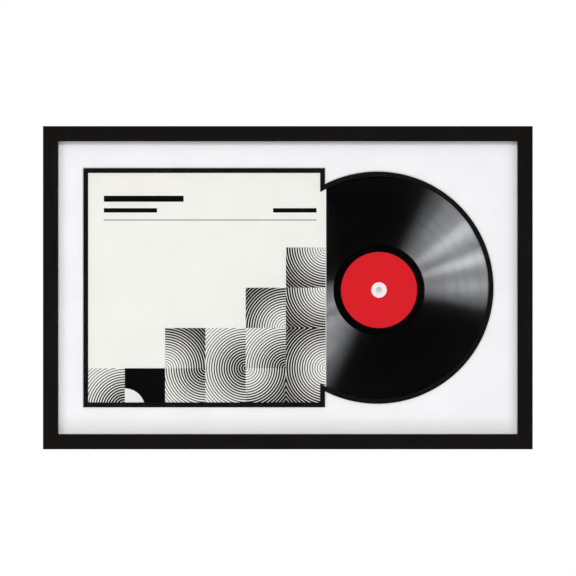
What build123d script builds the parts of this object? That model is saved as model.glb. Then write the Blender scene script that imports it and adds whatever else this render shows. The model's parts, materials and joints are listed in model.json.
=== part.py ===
from build123d import *
import os
from math import radians, tan

# A wall frame that shows one long-playing record and its sleeve side by side.
# Millimetres. +X is to the viewer's right, +Z is up, and the picture side faces -Y.
# The origin is the middle of the wall plane, where the rubber bumpers touch the wall.

# The record
record_radius = 151.0
record_rim_thickness = 2.0
record_rim_width = 3.4
record_web_thickness = 1.5
record_hub_thickness = 1.9
record_edge_round = 0.7
hub_ring_width = 2.0
hub_slope_width = 1.6
spindle_hole_radius = 3.62
label_radius = 49.5
label_thickness = 0.1
groove_inner_radius = 59.4
track_gap_width = 0.7
track_gap_depth = 0.05
# Where the gaps between the tracks lie, from the innermost groove to the rim
track_gap_shares = (0.095, 0.285, 0.475, 0.62, 0.82)

# The folded card sleeve
sleeve_size = 314.3
card_thickness = 0.45
sleeve_glue_margin = 1.5
record_side_clearance = 0.05
spine_round = 0.4

# The two window mats
mat_thickness = 1.4
mat_bevel_angle = 45
mat_reveal = 6.35
mat_side_border = 31.25
mat_upright_border = 34.45
window_spacing = 225.15
window_height_less = 3.3
window_shift = 0.7

# How sleeve and record lie in the cut-out of the carrier board
sleeve_shift = 1.55
sleeve_pocket_play = 1.0
record_shift = 2.25
record_pocket_play = 3.0

# The other sheets
glass_thickness = 2.0
backing_sheet_thickness = 0.3
backing_board_thickness = 2.7
sheet_side_play = 0.6
sheet_top_play = 1.2

# The moulding
moulding_width = 19.6
lip_thickness = 7.2
rabbet_width = 6.0
front_outer_round = 0.9
front_inner_round = 0.7
back_outer_round = 0.5
frame_corner_round = 0.6

# V-shaped corner nails, two in each mitre
v_nail_leg = 4.6
v_nail_sheet = 0.5
v_nail_height = 10.0
v_nail_half_angle = 42
v_nail_place_shares = (0.30, 0.70)

# Turn buttons and their screws
button_width = 10.0
button_reach = 21.0
button_thickness = 1.0
button_tip_length = 3.2
button_tip_rise = 0.9
button_pivot_clearance = 0.05
long_rail_button_shares = (-0.66, 0.0, 0.66)
short_rail_button_shares = (-0.42, 0.42)
screw_shank_radius = 1.45
screw_shank_length = 11.0
screw_point_length = 2.4
screw_head_radius = 3.1
screw_head_height = 1.35
screw_head_round = 0.9
screw_slot_length = 3.4
screw_slot_width = 0.8
screw_slot_depth = 0.7

# Sawtooth hangers and their nails
hanger_length = 46.0
hanger_height = 10.4
hanger_sheet = 0.8
hanger_standoff = 1.7
hanger_tab_length = 7.5
hanger_joggle_run = 1.8
hanger_tab_round = 2.0
hanger_teeth = 13
hanger_tooth_depth = 1.7
hanger_tooth_margin = 1.4
hanger_place_share = 0.36
nail_shank_radius = 0.8
nail_shank_length = 10.0
nail_point_length = 1.8
nail_head_radius = 1.9
nail_head_height = 0.5

# Rubber bumpers
bumper_radius = 5.0
bumper_height = 3.2
bumper_draft = 0.5
bumper_round = 0.6
bumper_corner_distance = 26.0

# Every cut runs past its piece by this much
overrun = 1.0

# Windows: a rectangle for the sleeve and a circle for the record, run together
window_width = sleeve_size
window_height = sleeve_size - window_height_less
window_span = window_width / 2 + window_spacing + record_radius
sleeve_window_x = window_shift - window_span / 2 + window_width / 2
record_window_x = sleeve_window_x + window_spacing

# The frame's outside and its rabbet follow from the windows and the mat's borders
sight_width = window_span + 2 * mat_side_border
sight_height = window_height + 2 * mat_upright_border
frame_width = sight_width + 2 * moulding_width
frame_height = sight_height + 2 * moulding_width
rabbet_half_width = sight_width / 2 + rabbet_width
rabbet_half_height = sight_height / 2 + rabbet_width
land_width = moulding_width - rabbet_width

# The stack of sheets fills the rabbet from the lip to the moulding's back
sleeve_thickness = record_rim_thickness + 2 * record_side_clearance + 2 * card_thickness
sheet_stack = (
    glass_thickness
    + 2 * mat_thickness
    + sleeve_thickness
    + backing_sheet_thickness
    + backing_board_thickness
)
moulding_depth = lip_thickness + sheet_stack
back_y = -bumper_height
front_y = back_y - moulding_depth
glass_back_y = front_y + lip_thickness + glass_thickness
white_mat_back_y = glass_back_y + mat_thickness
black_mat_back_y = white_mat_back_y + mat_thickness
carrier_back_y = black_mat_back_y + sleeve_thickness
backing_sheet_back_y = carrier_back_y + backing_sheet_thickness

# Sleeve and record rest on the lower edges of their cut-outs
sleeve_x = sleeve_window_x + sleeve_shift
record_x = record_window_x + record_shift
record_z = -record_pocket_play
record_middle_y = carrier_back_y - sleeve_thickness / 2


def facing(y):
    """The plane across the frame at depth y, seen from the front."""
    return Plane(origin=(0, y, 0), x_dir=(1, 0, 0), z_dir=(0, -1, 0))


def forward(outline, amount):
    """Extrudes an outline towards the viewer, whichever way its corners run."""
    return extrude(outline, amount=amount, dir=(0, -1, 0))


def slab(width, height, thickness, x, y_back, z):
    """A rectangular sheet with its back face at y_back and its middle at x, z."""
    return forward(facing(y_back) * Pos(x, z) * Rectangle(width, height), thickness)


def full_sheet(thickness, y_back):
    """A sheet that fills the rabbet: it stands on the lower rail and has play elsewhere."""
    width = 2 * (rabbet_half_width - sheet_side_play)
    height = 2 * rabbet_half_height - sheet_top_play
    return slab(width, height, thickness, 0, y_back, -sheet_top_play / 2)


def bevelled_window(inset, y_back):
    """The tool that cuts both windows through one mat, wider towards the viewer."""
    slope = tan(radians(mat_bevel_angle))
    far_plane = facing(y_back + overrun)
    near_plane = facing(y_back - mat_thickness - overrun)
    far_growth = -overrun * slope
    near_growth = (mat_thickness + overrun) * slope
    half_width = window_width / 2 - inset
    half_height = window_height / 2 - inset
    radius = record_radius - inset
    outlines = [
        plane
        * Pos(sleeve_window_x, 0)
        * Rectangle(2 * (half_width + growth), 2 * (half_height + growth))
        for plane, growth in ((far_plane, far_growth), (near_plane, near_growth))
    ]
    cone = Cone(
        radius + far_growth,
        radius + near_growth,
        mat_thickness + 2 * overrun,
        align=(Align.CENTER, Align.CENTER, Align.MIN),
    )
    return loft(outlines, ruled=True) + far_plane * Pos(record_window_x, 0) * cone


def window_mat(inset, y_back):
    """One mat board with its bevelled windows."""
    return full_sheet(mat_thickness, y_back) - bevelled_window(inset, y_back)


def moulding_profile():
    """Section of the moulding: x from the outer edge inwards, y from the back to the front."""
    corners = [
        (0, 0),
        (0, moulding_depth),
        (moulding_width, moulding_depth),
        (moulding_width, sheet_stack),
        (land_width, sheet_stack),
        (land_width, 0),
    ]
    face = make_face(Polyline(*corners, close=True))
    rounds = {(0, 0): back_outer_round, (0, 1): front_outer_round, (1, 1): front_inner_round}
    for (side, level), radius in rounds.items():
        corner = Vector(side * moulding_width, level * moulding_depth)
        vertex = face.vertices().sort_by_distance(corner)[0]
        face = fillet(vertex, radius)
    return face


def moulding_length(outer_length):
    """A straight length of moulding, outer edge up, back at the moulding's back plane."""
    section = Plane(origin=(0, back_y, 0), x_dir=(0, 0, -1), z_dir=(-1, 0, 0))
    return extrude(section * moulding_profile(), amount=outer_length / 2, both=True)


def mitre_wedge(outer_length, across):
    """The trapezoid that a mitred rail fills, seen from the front, its outer edge at z = 0."""
    half = outer_length / 2
    inner = half - across
    outline = Polyline((-half, 0), (half, 0), (inner, -across), (-inner, -across), close=True)
    return forward(facing(back_y + overrun) * make_face(outline), moulding_depth + 2 * overrun)


def frame_block():
    """The whole frame's outside with its softened corners."""
    outline = facing(back_y + overrun) * RectangleRounded(frame_width, frame_height, frame_corner_round)
    return forward(outline, moulding_depth + 2 * overrun)


def mitred_rail(outer_length, centre_distance, turn):
    """A rail cut at 45 degrees at both ends, turned about the viewing axis into its side."""
    rail = moulding_length(outer_length) & mitre_wedge(outer_length, moulding_width)
    return Rot(0, turn, 0) * (Pos(0, 0, centre_distance) * rail) & frame_block()


def v_nail():
    """A V of sheet steel: its point at the origin, open towards +X, its top edge on y = 0."""
    legs = []
    for side in (-1, 1):
        leg = Box(v_nail_leg, v_nail_height, v_nail_sheet, align=(Align.MIN, Align.MAX, Align.CENTER))
        legs.append(Rot(0, side * v_nail_half_angle, 0) * leg)
    return legs[0] + legs[1]


def corner_nails():
    """Two V nails across each mitre, driven in from the back."""
    nails = []
    for side_x in (-1, 1):
        for side_z in (-1, 1):
            turn = {(1, 1): 135, (-1, 1): 45, (-1, -1): -45, (1, -1): -135}[side_x, side_z]
            for share in v_nail_place_shares:
                inset = share * land_width
                x = side_x * (frame_width / 2 - inset)
                z = side_z * (frame_height / 2 - inset)
                nails.append(Pos(x, back_y, z) * Rot(0, turn, 0) * v_nail())
    return nails


def stepped_profile():
    """Half section of the record: x is the radius, y the height above the middle plane."""
    hub_top = record_hub_thickness / 2
    web_top = record_web_thickness / 2
    rim_top = record_rim_thickness / 2
    hub_edge = label_radius + hub_ring_width
    rim_start = record_radius - record_rim_width
    points = [
        (spindle_hole_radius, hub_top - label_thickness),
        (label_radius, hub_top - label_thickness),
        (label_radius, hub_top),
        (hub_edge, hub_top),
        (hub_edge + hub_slope_width, web_top),
    ]
    for share in track_gap_shares:
        middle = groove_inner_radius + share * (rim_start - groove_inner_radius)
        points.append((middle - track_gap_width, web_top))
        points.append((middle, web_top - track_gap_depth))
        points.append((middle + track_gap_width, web_top))
    points.append((rim_start - track_gap_width, web_top))
    points.append((rim_start, rim_top))
    points.append((record_radius, rim_top))
    return points


def pressed_record():
    """The record's body, turned about its own axis, with a rounded rim."""
    upper = stepped_profile()
    lower = [(radius, -height) for radius, height in reversed(upper)]
    section = make_face(Polyline(*upper, *lower, close=True))
    rim = [v for v in section.vertices() if v.X > record_radius - record_edge_round]
    section = fillet(rim, record_edge_round)
    return Pos(record_x, record_middle_y, record_z) * revolve(section, Axis.Y)


def record_label(side):
    """A paper label pressed into one side; side is -1 for the front and 1 for the back."""
    ring = Circle(label_radius) - Circle(spindle_hole_radius)
    inner_face = record_middle_y + side * (record_hub_thickness / 2 - label_thickness)
    y_back = inner_face if side < 0 else inner_face + label_thickness
    return forward(facing(y_back) * Pos(record_x, record_z) * ring, label_thickness)


def card_sleeve():
    """The folded sleeve, open to the right: front, back, spine and the two glued edges."""
    spine_x = sleeve_x - sleeve_size / 2
    inside_y = carrier_back_y - card_thickness
    inside_depth = sleeve_thickness - 2 * card_thickness
    front = slab(
        sleeve_size, sleeve_size, card_thickness, sleeve_x, inside_y - inside_depth, 0
    )
    back = slab(sleeve_size, sleeve_size, card_thickness, sleeve_x, carrier_back_y, 0)
    front = fillet(front.edges().filter_by(Axis.Z).group_by(Axis.X)[0].sort_by(Axis.Y)[0], spine_round)
    back = fillet(back.edges().filter_by(Axis.Z).group_by(Axis.X)[0].sort_by(Axis.Y)[-1], spine_round)
    spine = slab(
        card_thickness, sleeve_size, inside_depth, spine_x + card_thickness / 2, inside_y, 0
    )
    edges = [
        slab(
            sleeve_size - card_thickness,
            sleeve_glue_margin,
            inside_depth,
            sleeve_x + card_thickness / 2,
            inside_y,
            side * (sleeve_size - sleeve_glue_margin) / 2,
        )
        for side in (-1, 1)
    ]
    return Compound(children=[front, back, spine, *edges])


def carrier():
    """The board that sleeve and record are let into, as thick as the sleeve."""
    board = full_sheet(sleeve_thickness, carrier_back_y)
    deep = sleeve_thickness + 2 * overrun
    sleeve_hole = slab(
        sleeve_size + 2 * sleeve_pocket_play,
        sleeve_size + sleeve_pocket_play,
        deep,
        sleeve_x,
        carrier_back_y + overrun,
        sleeve_pocket_play / 2,
    )
    round_hole = Pos(record_x, 0) * Circle(record_radius + record_pocket_play)
    return board - sleeve_hole - forward(facing(carrier_back_y + overrun) * round_hole, deep)


def pointed_pin(radius, length, point):
    """A round shank along -Y from y = 0, with a pointed end."""
    outline = Polyline(
        (0, 0), (radius, 0), (radius, -(length - point)), (0, -length), close=True
    )
    return revolve(make_face(outline), Axis.Y)


def pan_screw():
    """A pan-head screw with a cross recess, its head's underside at y = 0."""
    head = Cylinder(
        screw_head_radius,
        screw_head_height,
        rotation=(-90, 0, 0),
        align=(Align.CENTER, Align.CENTER, Align.MIN),
    )
    rim = head.edges().sort_by(Axis.Y)[-1]
    head = fillet(rim, screw_head_round)
    shank = pointed_pin(screw_shank_radius, screw_shank_length, screw_point_length)
    screw = head + shank
    for size_x, size_z in ((screw_slot_length, screw_slot_width), (screw_slot_width, screw_slot_length)):
        slot = Box(
            size_x, screw_slot_depth + overrun, size_z, align=(Align.CENTER, Align.MIN, Align.CENTER)
        )
        screw -= Pos(0, screw_head_height - screw_slot_depth, 0) * slot
    return screw


def turn_button():
    """A steel turn button on the plane y = 0: pivot at the origin, arm along +Z, tip turned up."""
    end = button_width / 2
    bend = button_reach - button_tip_length
    side = Polyline(
        (-end, 0),
        (bend, 0),
        (button_reach, button_tip_rise),
        (button_reach, button_tip_rise + button_thickness),
        (bend, button_thickness),
        (-end, button_thickness),
        close=True,
    )
    side_plane = Plane(origin=(0, 0, 0), x_dir=(0, 0, 1), z_dir=(-1, 0, 0))
    strip = extrude(side_plane * make_face(side), amount=button_width / 2, both=True)
    tall = button_tip_rise + button_thickness + overrun
    outline = SlotOverall(button_reach + end, button_width, rotation=90)
    plan = forward(facing(tall) * Pos(0, (button_reach - end) / 2) * outline, tall + overrun)
    hole = Cylinder(screw_shank_radius + button_pivot_clearance, 2 * tall, rotation=(90, 0, 0))
    return (strip & plan) - hole


def button_places():
    """Where each turn button pivots and how far it is turned about Y to point inwards."""
    across = land_width / 2
    places = []
    for share in long_rail_button_shares:
        places.append((share * frame_width / 2, frame_height / 2 - across, 180))
    for share in long_rail_button_shares:
        places.append((share * frame_width / 2, across - frame_height / 2, 0))
    for share in short_rail_button_shares:
        places.append((across - frame_width / 2, share * frame_height / 2, 90))
    for share in short_rail_button_shares:
        places.append((frame_width / 2 - across, share * frame_height / 2, -90))
    return places


def hanger_places():
    """The middles of the two hangers, on the upper rail's back."""
    z = frame_height / 2 - land_width / 2
    return [(side * hanger_place_share * frame_width / 2, z) for side in (-1, 1)]


def hanger_tooth_cuts():
    """The row of notches along the hanger's lower edge."""
    half_row = hanger_length / 2 - hanger_tab_length - hanger_joggle_run - hanger_tooth_margin
    pitch = 2 * half_row / hanger_teeth
    floor = -hanger_height / 2
    points = [(-half_row, floor - overrun), (-half_row, floor)]
    for tooth in range(hanger_teeth):
        left = -half_row + tooth * pitch
        points.append((left + pitch / 2, floor + hanger_tooth_depth))
        points.append((left + pitch, floor))
    points.append((half_row, floor - overrun))
    deep = hanger_standoff + hanger_sheet + 2 * overrun
    row = make_face(Polyline(*points, close=True))
    return forward(facing(hanger_standoff + hanger_sheet + overrun) * row, deep)


def sawtooth_hanger():
    """A pressed strip on the plane y = 0: flat tabs, a raised middle, teeth on its lower edge."""
    half = hanger_length / 2
    tab = half - hanger_tab_length
    rise = tab - hanger_joggle_run
    lower = [
        (-half, 0),
        (-tab, 0),
        (-rise, hanger_standoff),
        (rise, hanger_standoff),
        (tab, 0),
        (half, 0),
    ]
    upper = [(x, y + hanger_sheet) for x, y in reversed(lower)]
    section = make_face(Polyline(*lower, *upper, close=True))
    strip = extrude(section, amount=hanger_height / 2, both=True)
    deep = hanger_standoff + hanger_sheet + 2 * overrun
    plan = RectangleRounded(hanger_length, hanger_height, hanger_tab_round)
    strip &= forward(facing(hanger_standoff + hanger_sheet + overrun) * plan, deep)
    strip -= hanger_tooth_cuts()
    for side in (-1, 1):
        hole = Cylinder(nail_shank_radius, 2 * deep, rotation=(90, 0, 0))
        strip -= Pos(side * (half - hanger_tab_length / 2), 0, 0) * hole
    return strip


def round_nail():
    """A round nail, its head's underside at y = 0 and its point along -Y."""
    head = Cylinder(
        nail_head_radius,
        nail_head_height,
        rotation=(-90, 0, 0),
        align=(Align.CENTER, Align.CENTER, Align.MIN),
    )
    return head + pointed_pin(nail_shank_radius, nail_shank_length, nail_point_length)


def nail_places():
    """The four nails: one through each tab of each hanger, on the tab's outer face."""
    offset = (hanger_length - hanger_tab_length) / 2
    return [
        Pos(x + side * offset, back_y + hanger_sheet, z)
        for x, z in hanger_places()
        for side in (-1, 1)
    ]


def bumper():
    """A rubber bumper on the plane y = 0, slightly tapered, its flat end towards the wall."""
    blank = Cone(
        bumper_radius,
        bumper_radius - bumper_draft,
        bumper_height,
        rotation=(-90, 0, 0),
        align=(Align.CENTER, Align.CENTER, Align.MIN),
    )
    rim = blank.edges().sort_by(Axis.Y)[-1]
    return fillet(rim, bumper_round)


def bumper_spots():
    """The four bumpers on the long rails, near the corners."""
    x = frame_width / 2 - bumper_corner_distance
    z = frame_height / 2 - land_width / 2
    return [Pos(side_x * x, back_y, side_z * z) for side_x in (-1, 1) for side_z in (-1, 1)]


nails = corner_nails()
screws = [
    Pos(x, back_y + button_thickness, z) * Rot(0, turn, 0) * pan_screw()
    for x, z, turn in button_places()
]
hanger_nails = [place * round_nail() for place in nail_places()]

rails = {
    "rail_top": mitred_rail(frame_width, frame_height / 2, 0),
    "rail_bottom": mitred_rail(frame_width, frame_height / 2, 180),
    "stile_left": mitred_rail(frame_height, frame_width / 2, -90),
    "stile_right": mitred_rail(frame_height, frame_width / 2, 90),
}
# What is driven into the moulding leaves its own hole there
for name in rails:
    for driven in nails + screws + hanger_nails:
        rails[name] -= driven

pieces = dict(rails)
pieces["v_nails"] = Compound(children=nails)
pieces["glass_pane"] = full_sheet(glass_thickness, glass_back_y)
pieces["white_mat"] = window_mat(0, white_mat_back_y)
pieces["black_mat"] = window_mat(mat_reveal, black_mat_back_y)
pieces["album_sleeve"] = card_sleeve()
pieces["vinyl_record"] = pressed_record()
pieces["record_label_front"] = record_label(-1)
pieces["record_label_back"] = record_label(1)
pieces["carrier_board"] = carrier()
pieces["backing_sheet"] = full_sheet(backing_sheet_thickness, backing_sheet_back_y)
pieces["backing_board"] = full_sheet(backing_board_thickness, back_y)
for number, (x, z, turn) in enumerate(button_places(), start=1):
    pieces[f"turn_button_{number}"] = Pos(x, back_y, z) * Rot(0, turn, 0) * turn_button()
pieces["turn_button_screws"] = Compound(children=screws)
for side, (x, z) in zip(("left", "right"), hanger_places()):
    pieces[f"sawtooth_hanger_{side}"] = Pos(x, back_y, z) * sawtooth_hanger()
pieces["hanger_nails"] = Compound(children=hanger_nails)
pieces["bumpers"] = Compound(children=[place * bumper() for place in bumper_spots()])

os.makedirs("parts", exist_ok=True)
for name, piece in pieces.items():
    export_step(piece, f"parts/{name}.step")
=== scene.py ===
"""A black wall frame that shows a long-playing record beside its sleeve, set up for a studio picture.

Metres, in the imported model's own frame: +X is to the viewer's right, +Z is up, the picture side
faces -Y and the wall plane is y = 0. Each class makes one sub-assembly. Its meshes are grids of
points worked out as whole arrays, and its finishes are shader trees on Object coordinates.
"""
from __future__ import annotations

import json
import logging
import math
from abc import ABC, abstractmethod
from dataclasses import dataclass, field
from enum import Enum
from itertools import product
from typing import Union

import bpy
import numpy as np
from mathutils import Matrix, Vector

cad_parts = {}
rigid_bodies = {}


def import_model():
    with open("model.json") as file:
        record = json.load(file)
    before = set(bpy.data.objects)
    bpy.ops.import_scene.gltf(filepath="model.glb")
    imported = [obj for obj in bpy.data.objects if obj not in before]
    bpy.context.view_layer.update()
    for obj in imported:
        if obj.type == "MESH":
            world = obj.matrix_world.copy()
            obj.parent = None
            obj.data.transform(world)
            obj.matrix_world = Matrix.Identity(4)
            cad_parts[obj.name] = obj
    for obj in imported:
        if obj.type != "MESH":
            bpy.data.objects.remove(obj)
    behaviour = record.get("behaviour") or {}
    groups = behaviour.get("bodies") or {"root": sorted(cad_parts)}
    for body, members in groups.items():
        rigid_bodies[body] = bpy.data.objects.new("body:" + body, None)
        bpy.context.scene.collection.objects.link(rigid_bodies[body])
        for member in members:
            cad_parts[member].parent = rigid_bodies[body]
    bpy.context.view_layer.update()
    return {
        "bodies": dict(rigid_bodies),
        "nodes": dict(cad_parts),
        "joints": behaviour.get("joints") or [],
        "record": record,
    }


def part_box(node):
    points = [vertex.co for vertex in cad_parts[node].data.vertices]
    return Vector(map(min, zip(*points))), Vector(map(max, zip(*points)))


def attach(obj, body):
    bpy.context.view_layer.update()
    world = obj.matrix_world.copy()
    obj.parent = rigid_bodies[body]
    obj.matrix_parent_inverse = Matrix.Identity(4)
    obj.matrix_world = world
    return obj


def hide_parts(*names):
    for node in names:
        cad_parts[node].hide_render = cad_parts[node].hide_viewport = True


Array = np.ndarray
Colour = tuple[float, float, float]
Socket = bpy.types.NodeSocket
Feed = Union[Socket, float, tuple]
Profile = list[tuple[float, float]]

log = logging.getLogger("record_frame")

MM = 0.001
# Points nearer than this are one point
WELD = 1e-6
# Faces that meet at a sharper turn than this keep a crisp edge
CRISP_TURN = math.radians(32)
QUARTER_TURN = math.pi / 2
# Noise gathers round its middle: these two values of it become the ends of a cloud
CLOUD_FROM, CLOUD_TO = 0.3, 0.7
ROOT = "frame"


# Meshes


@dataclass
class Surface:
    """Grids of points that are joined into one closed mesh.

    Points that fall on each other are merged, so grids with a common border close their seam, and
    a row of equal points closes a pole. Faces are turned outwards by the sign of the volume.
    """

    name: str
    points: list[Array] = field(default_factory=list)
    corners: list[Array] = field(default_factory=list)
    paints: list[Array] = field(default_factory=list)
    marks: list[dict[str, Array]] = field(default_factory=list)
    count: int = 0

    def grid(self, points: Array, paint: int | Array = 0, wrap: bool = False, **marks: float | Array) -> None:
        """Adds rows of points; each cell between four neighbours becomes a face.

        Args:
            points: rows x columns x 3 coordinates.
            paint: which of the piece's finishes the faces take, one number or one for each cell.
            wrap: whether the last column joins the first.
            marks: named values of the points, one number or one for each point.
        """
        rows, columns = points.shape[:2]
        index = self.count + np.arange(rows * columns).reshape(rows, columns)
        if wrap:
            index = np.hstack([index, index[:, :1]])
        cells = np.stack([index[:-1, :-1], index[:-1, 1:], index[1:, 1:], index[1:, :-1]], axis=-1)
        self._add(points.reshape(-1, 3), cells.reshape(-1, 4), np.broadcast_to(paint, cells.shape[:2]))
        self.marks.append({k: np.broadcast_to(v, (rows, columns)).ravel() for k, v in marks.items()})

    def cap(self, ring: Array, paint: int = 0, **marks: float) -> None:
        """Adds one flat face that fills a ring of points.

        Args:
            ring: the points in order, n x 3.
            paint: which of the piece's finishes the face takes.
            marks: named values of the points.
        """
        corners = self.count + np.arange(len(ring))[None, :]
        self._add(ring, corners, np.array([paint]))
        self.marks.append({k: np.full(len(ring), v) for k, v in marks.items()})

    def caps(self, rings: Array, paint: int = 0, **marks: float) -> None:
        """Closes both ends of a run of rings, each with one flat face."""
        self.cap(rings[0][::-1], paint, **marks)
        self.cap(rings[-1], paint, **marks)

    def _add(self, points: Array, corners: Array, paints: Array) -> None:
        """Stores points and faces.

        Args:
            points: n x 3 coordinates.
            corners: each face's corners; all of these faces have as many.
            paints: each face's finish.
        """
        self.points.append(points)
        self.corners.append(corners)
        self.paints.append(paints.ravel())
        self.count += len(points)

    def mesh(self) -> bpy.types.Mesh:
        """Merges equal points, drops collapsed faces, turns the shell outwards and makes the mesh.

        Returns:
            The mesh, with its marks as float attributes and sharp edges set by angle.
        """
        points = np.concatenate(self.points)
        keys = np.round(points / WELD).astype(np.int64)
        _, first, merged = np.unique(keys, axis=0, return_index=True, return_inverse=True)
        merged = merged.ravel()
        loops, totals, paints = [], [], []
        for corners, paint in zip(self.corners, self.paints):
            loop = merged[corners]
            keep = loop != np.roll(loop, -1, axis=1)
            sound = keep.sum(axis=1) > 2
            loops.append(loop[sound][keep[sound]])
            totals.append(keep[sound].sum(axis=1))
            paints.append(paint[sound])
        loops, totals = np.concatenate(loops), np.concatenate(totals)
        places = points[first]
        starts = np.concatenate([[0], np.cumsum(totals)[:-1]])
        if shell_volume(places, loops, starts, totals) < 0:
            last = np.repeat(2 * starts + totals - 1, totals)
            loops = loops[last - np.arange(len(loops))]
        mesh = bpy.data.meshes.new(self.name)
        mesh.vertices.add(len(places))
        mesh.vertices.foreach_set("co", places.astype(np.float32).ravel())
        mesh.loops.add(len(loops))
        mesh.loops.foreach_set("vertex_index", loops.astype(np.int32))
        mesh.polygons.add(len(totals))
        mesh.polygons.foreach_set("loop_start", starts.astype(np.int32))
        mesh.polygons.foreach_set("material_index", np.concatenate(paints).astype(np.int32))
        mesh.update(calc_edges=True)
        for name in sorted({name for marks in self.marks for name in marks}):
            parts = [m.get(name, np.zeros(len(p))) for m, p in zip(self.marks, self.points)]
            layer = mesh.attributes.new(name, "FLOAT", "POINT")
            layer.data.foreach_set("value", np.concatenate(parts)[first].astype(np.float32))
        mesh.validate()
        mesh.shade_smooth()
        mesh.set_sharp_from_angle(angle=CRISP_TURN)
        return mesh


def shell_volume(places: Array, loops: Array, starts: Array, totals: Array) -> float:
    """The signed volume of a shell: a sixth of the sum of a . (b x c) over a fan of each face.

    Args:
        places: the points.
        loops: the corners of all faces, one face after another.
        starts: where each face starts in loops.
        totals: how many corners each face has.

    Returns:
        The volume, above zero if the faces point outwards.
    """
    following = np.arange(len(loops)) + 1
    following[starts + totals - 1] = starts
    a, b, c = places[np.repeat(loops[starts], totals)], places[loops], places[loops[following]]
    return float(np.einsum("ij,ij->i", a, np.cross(b, c)).sum() / 6)


def rounded_outline(corners: list[tuple[float, float]], radii: list[float], arc_steps: int) -> Array:
    """A closed outline of right-angled corners, each eased by a quarter circle.

    About the centre c - r * arriving + r * leaving, the arc's point at angle a is
    centre - r * cos(a) * leaving + r * sin(a) * arriving, for a from 0 to a right angle.

    Args:
        corners: the sharp corners in order.
        radii: the radius at each corner, 0 for a crisp one.
        arc_steps: how many steps each arc has.

    Returns:
        The outline's points, n x 2.
    """
    sharp = np.array(corners, float)
    arriving = sharp - np.roll(sharp, 1, axis=0)
    arriving /= np.linalg.norm(arriving, axis=1, keepdims=True)
    leaving = np.roll(arriving, -1, axis=0)
    runs = []
    for point, before, after, radius in zip(sharp, arriving, leaving, radii):
        turn = np.linspace(0, QUARTER_TURN, arc_steps + 1)[:, None]
        centre = point - radius * before + radius * after
        arc = centre - radius * np.cos(turn) * after + radius * np.sin(turn) * before
        runs.append(arc if radius else point[None])
    return np.concatenate(runs)


def evenly_filled(outline: Array, spacing: float) -> Array:
    """Adds points to a closed outline, so that none of its runs is longer than the spacing.

    Args:
        outline: n x 2 points.
        spacing: the longest run that may stay.

    Returns:
        The filled outline.
    """
    ends = np.roll(outline, -1, axis=0)
    parts = np.maximum(1, np.ceil(np.linalg.norm(ends - outline, axis=1) / spacing).astype(int))
    start = np.repeat(outline, parts, axis=0)
    step = np.repeat((ends - outline) / parts[:, None], parts, axis=0)
    place = np.arange(parts.sum()) - np.repeat(np.cumsum(parts) - parts, parts)
    return start + step * place[:, None]


def inward_normals(outline: Array) -> Array:
    """Unit normals of a closed outline, pointing to its inside.

    Args:
        outline: n x 2 points.

    Returns:
        n x 2 normals: the chord between both neighbours, turned by a right angle.
    """
    chord = np.roll(outline, -1, axis=0) - np.roll(outline, 1, axis=0)
    normal = np.stack([-chord[:, 1], chord[:, 0]], axis=1)
    normal /= np.maximum(np.linalg.norm(normal, axis=1, keepdims=True), WELD)
    following = np.roll(outline, -1, axis=0)
    area = np.sum(outline[:, 0] * following[:, 1] - following[:, 0] * outline[:, 1])
    return normal * np.sign(area)


def turned(profile: Array, steps: int) -> Array:
    """A profile of radius and height carried round the Y axis: (r cos a, h, r sin a).

    Args:
        profile: n x 2, radius and height.
        steps: how many steps the full turn has.

    Returns:
        n x steps x 3 points; the last column is meant to join the first.
    """
    angle = np.linspace(0, 2 * math.pi, steps, endpoint=False)
    radius, height = profile[:, :1], profile[:, 1:]
    x, z = radius * np.cos(angle), radius * np.sin(angle)
    return np.stack([x, np.broadcast_to(height, x.shape), z], axis=-1)


def smooth_step(values: Array) -> Array:
    """Runs from 0 to 1 with level ends: t * t * (3 - 2 * t), with t held between 0 and 1."""
    t = np.clip(values, 0, 1)
    return t * t * (3 - 2 * t)


def quarter_arc(side: float, top: float, radius: float, steps: int) -> Profile:
    """The rounded edge of a turned piece.

    Args:
        side: the radius of the piece's side.
        top: the height of its top.
        radius: the edge's own radius.
        steps: how many steps the arc has.

    Returns:
        Pairs of radius and height, from the top to the side.
    """
    turn = np.linspace(0, QUARTER_TURN, steps + 1)
    return [(side - radius + radius * math.sin(a), top - radius + radius * math.cos(a)) for a in turn]


def pointed_shank(radius: float, length: float, point: float) -> Profile:
    """A plain shank under a head at height 0, with a point, as pairs of radius and height."""
    return [(radius, 0.0), (radius, point - length), (0.0, -length)]


def corners_of(node: str) -> tuple[Array, Array]:
    """The lowest and the highest corner of a CAD node's box."""
    low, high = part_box(node)
    return np.array(low), np.array(high)


def centre_of(node: str) -> Array:
    """The middle of a CAD node's box."""
    low, high = corners_of(node)
    return (low + high) / 2


# Shader trees


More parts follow.
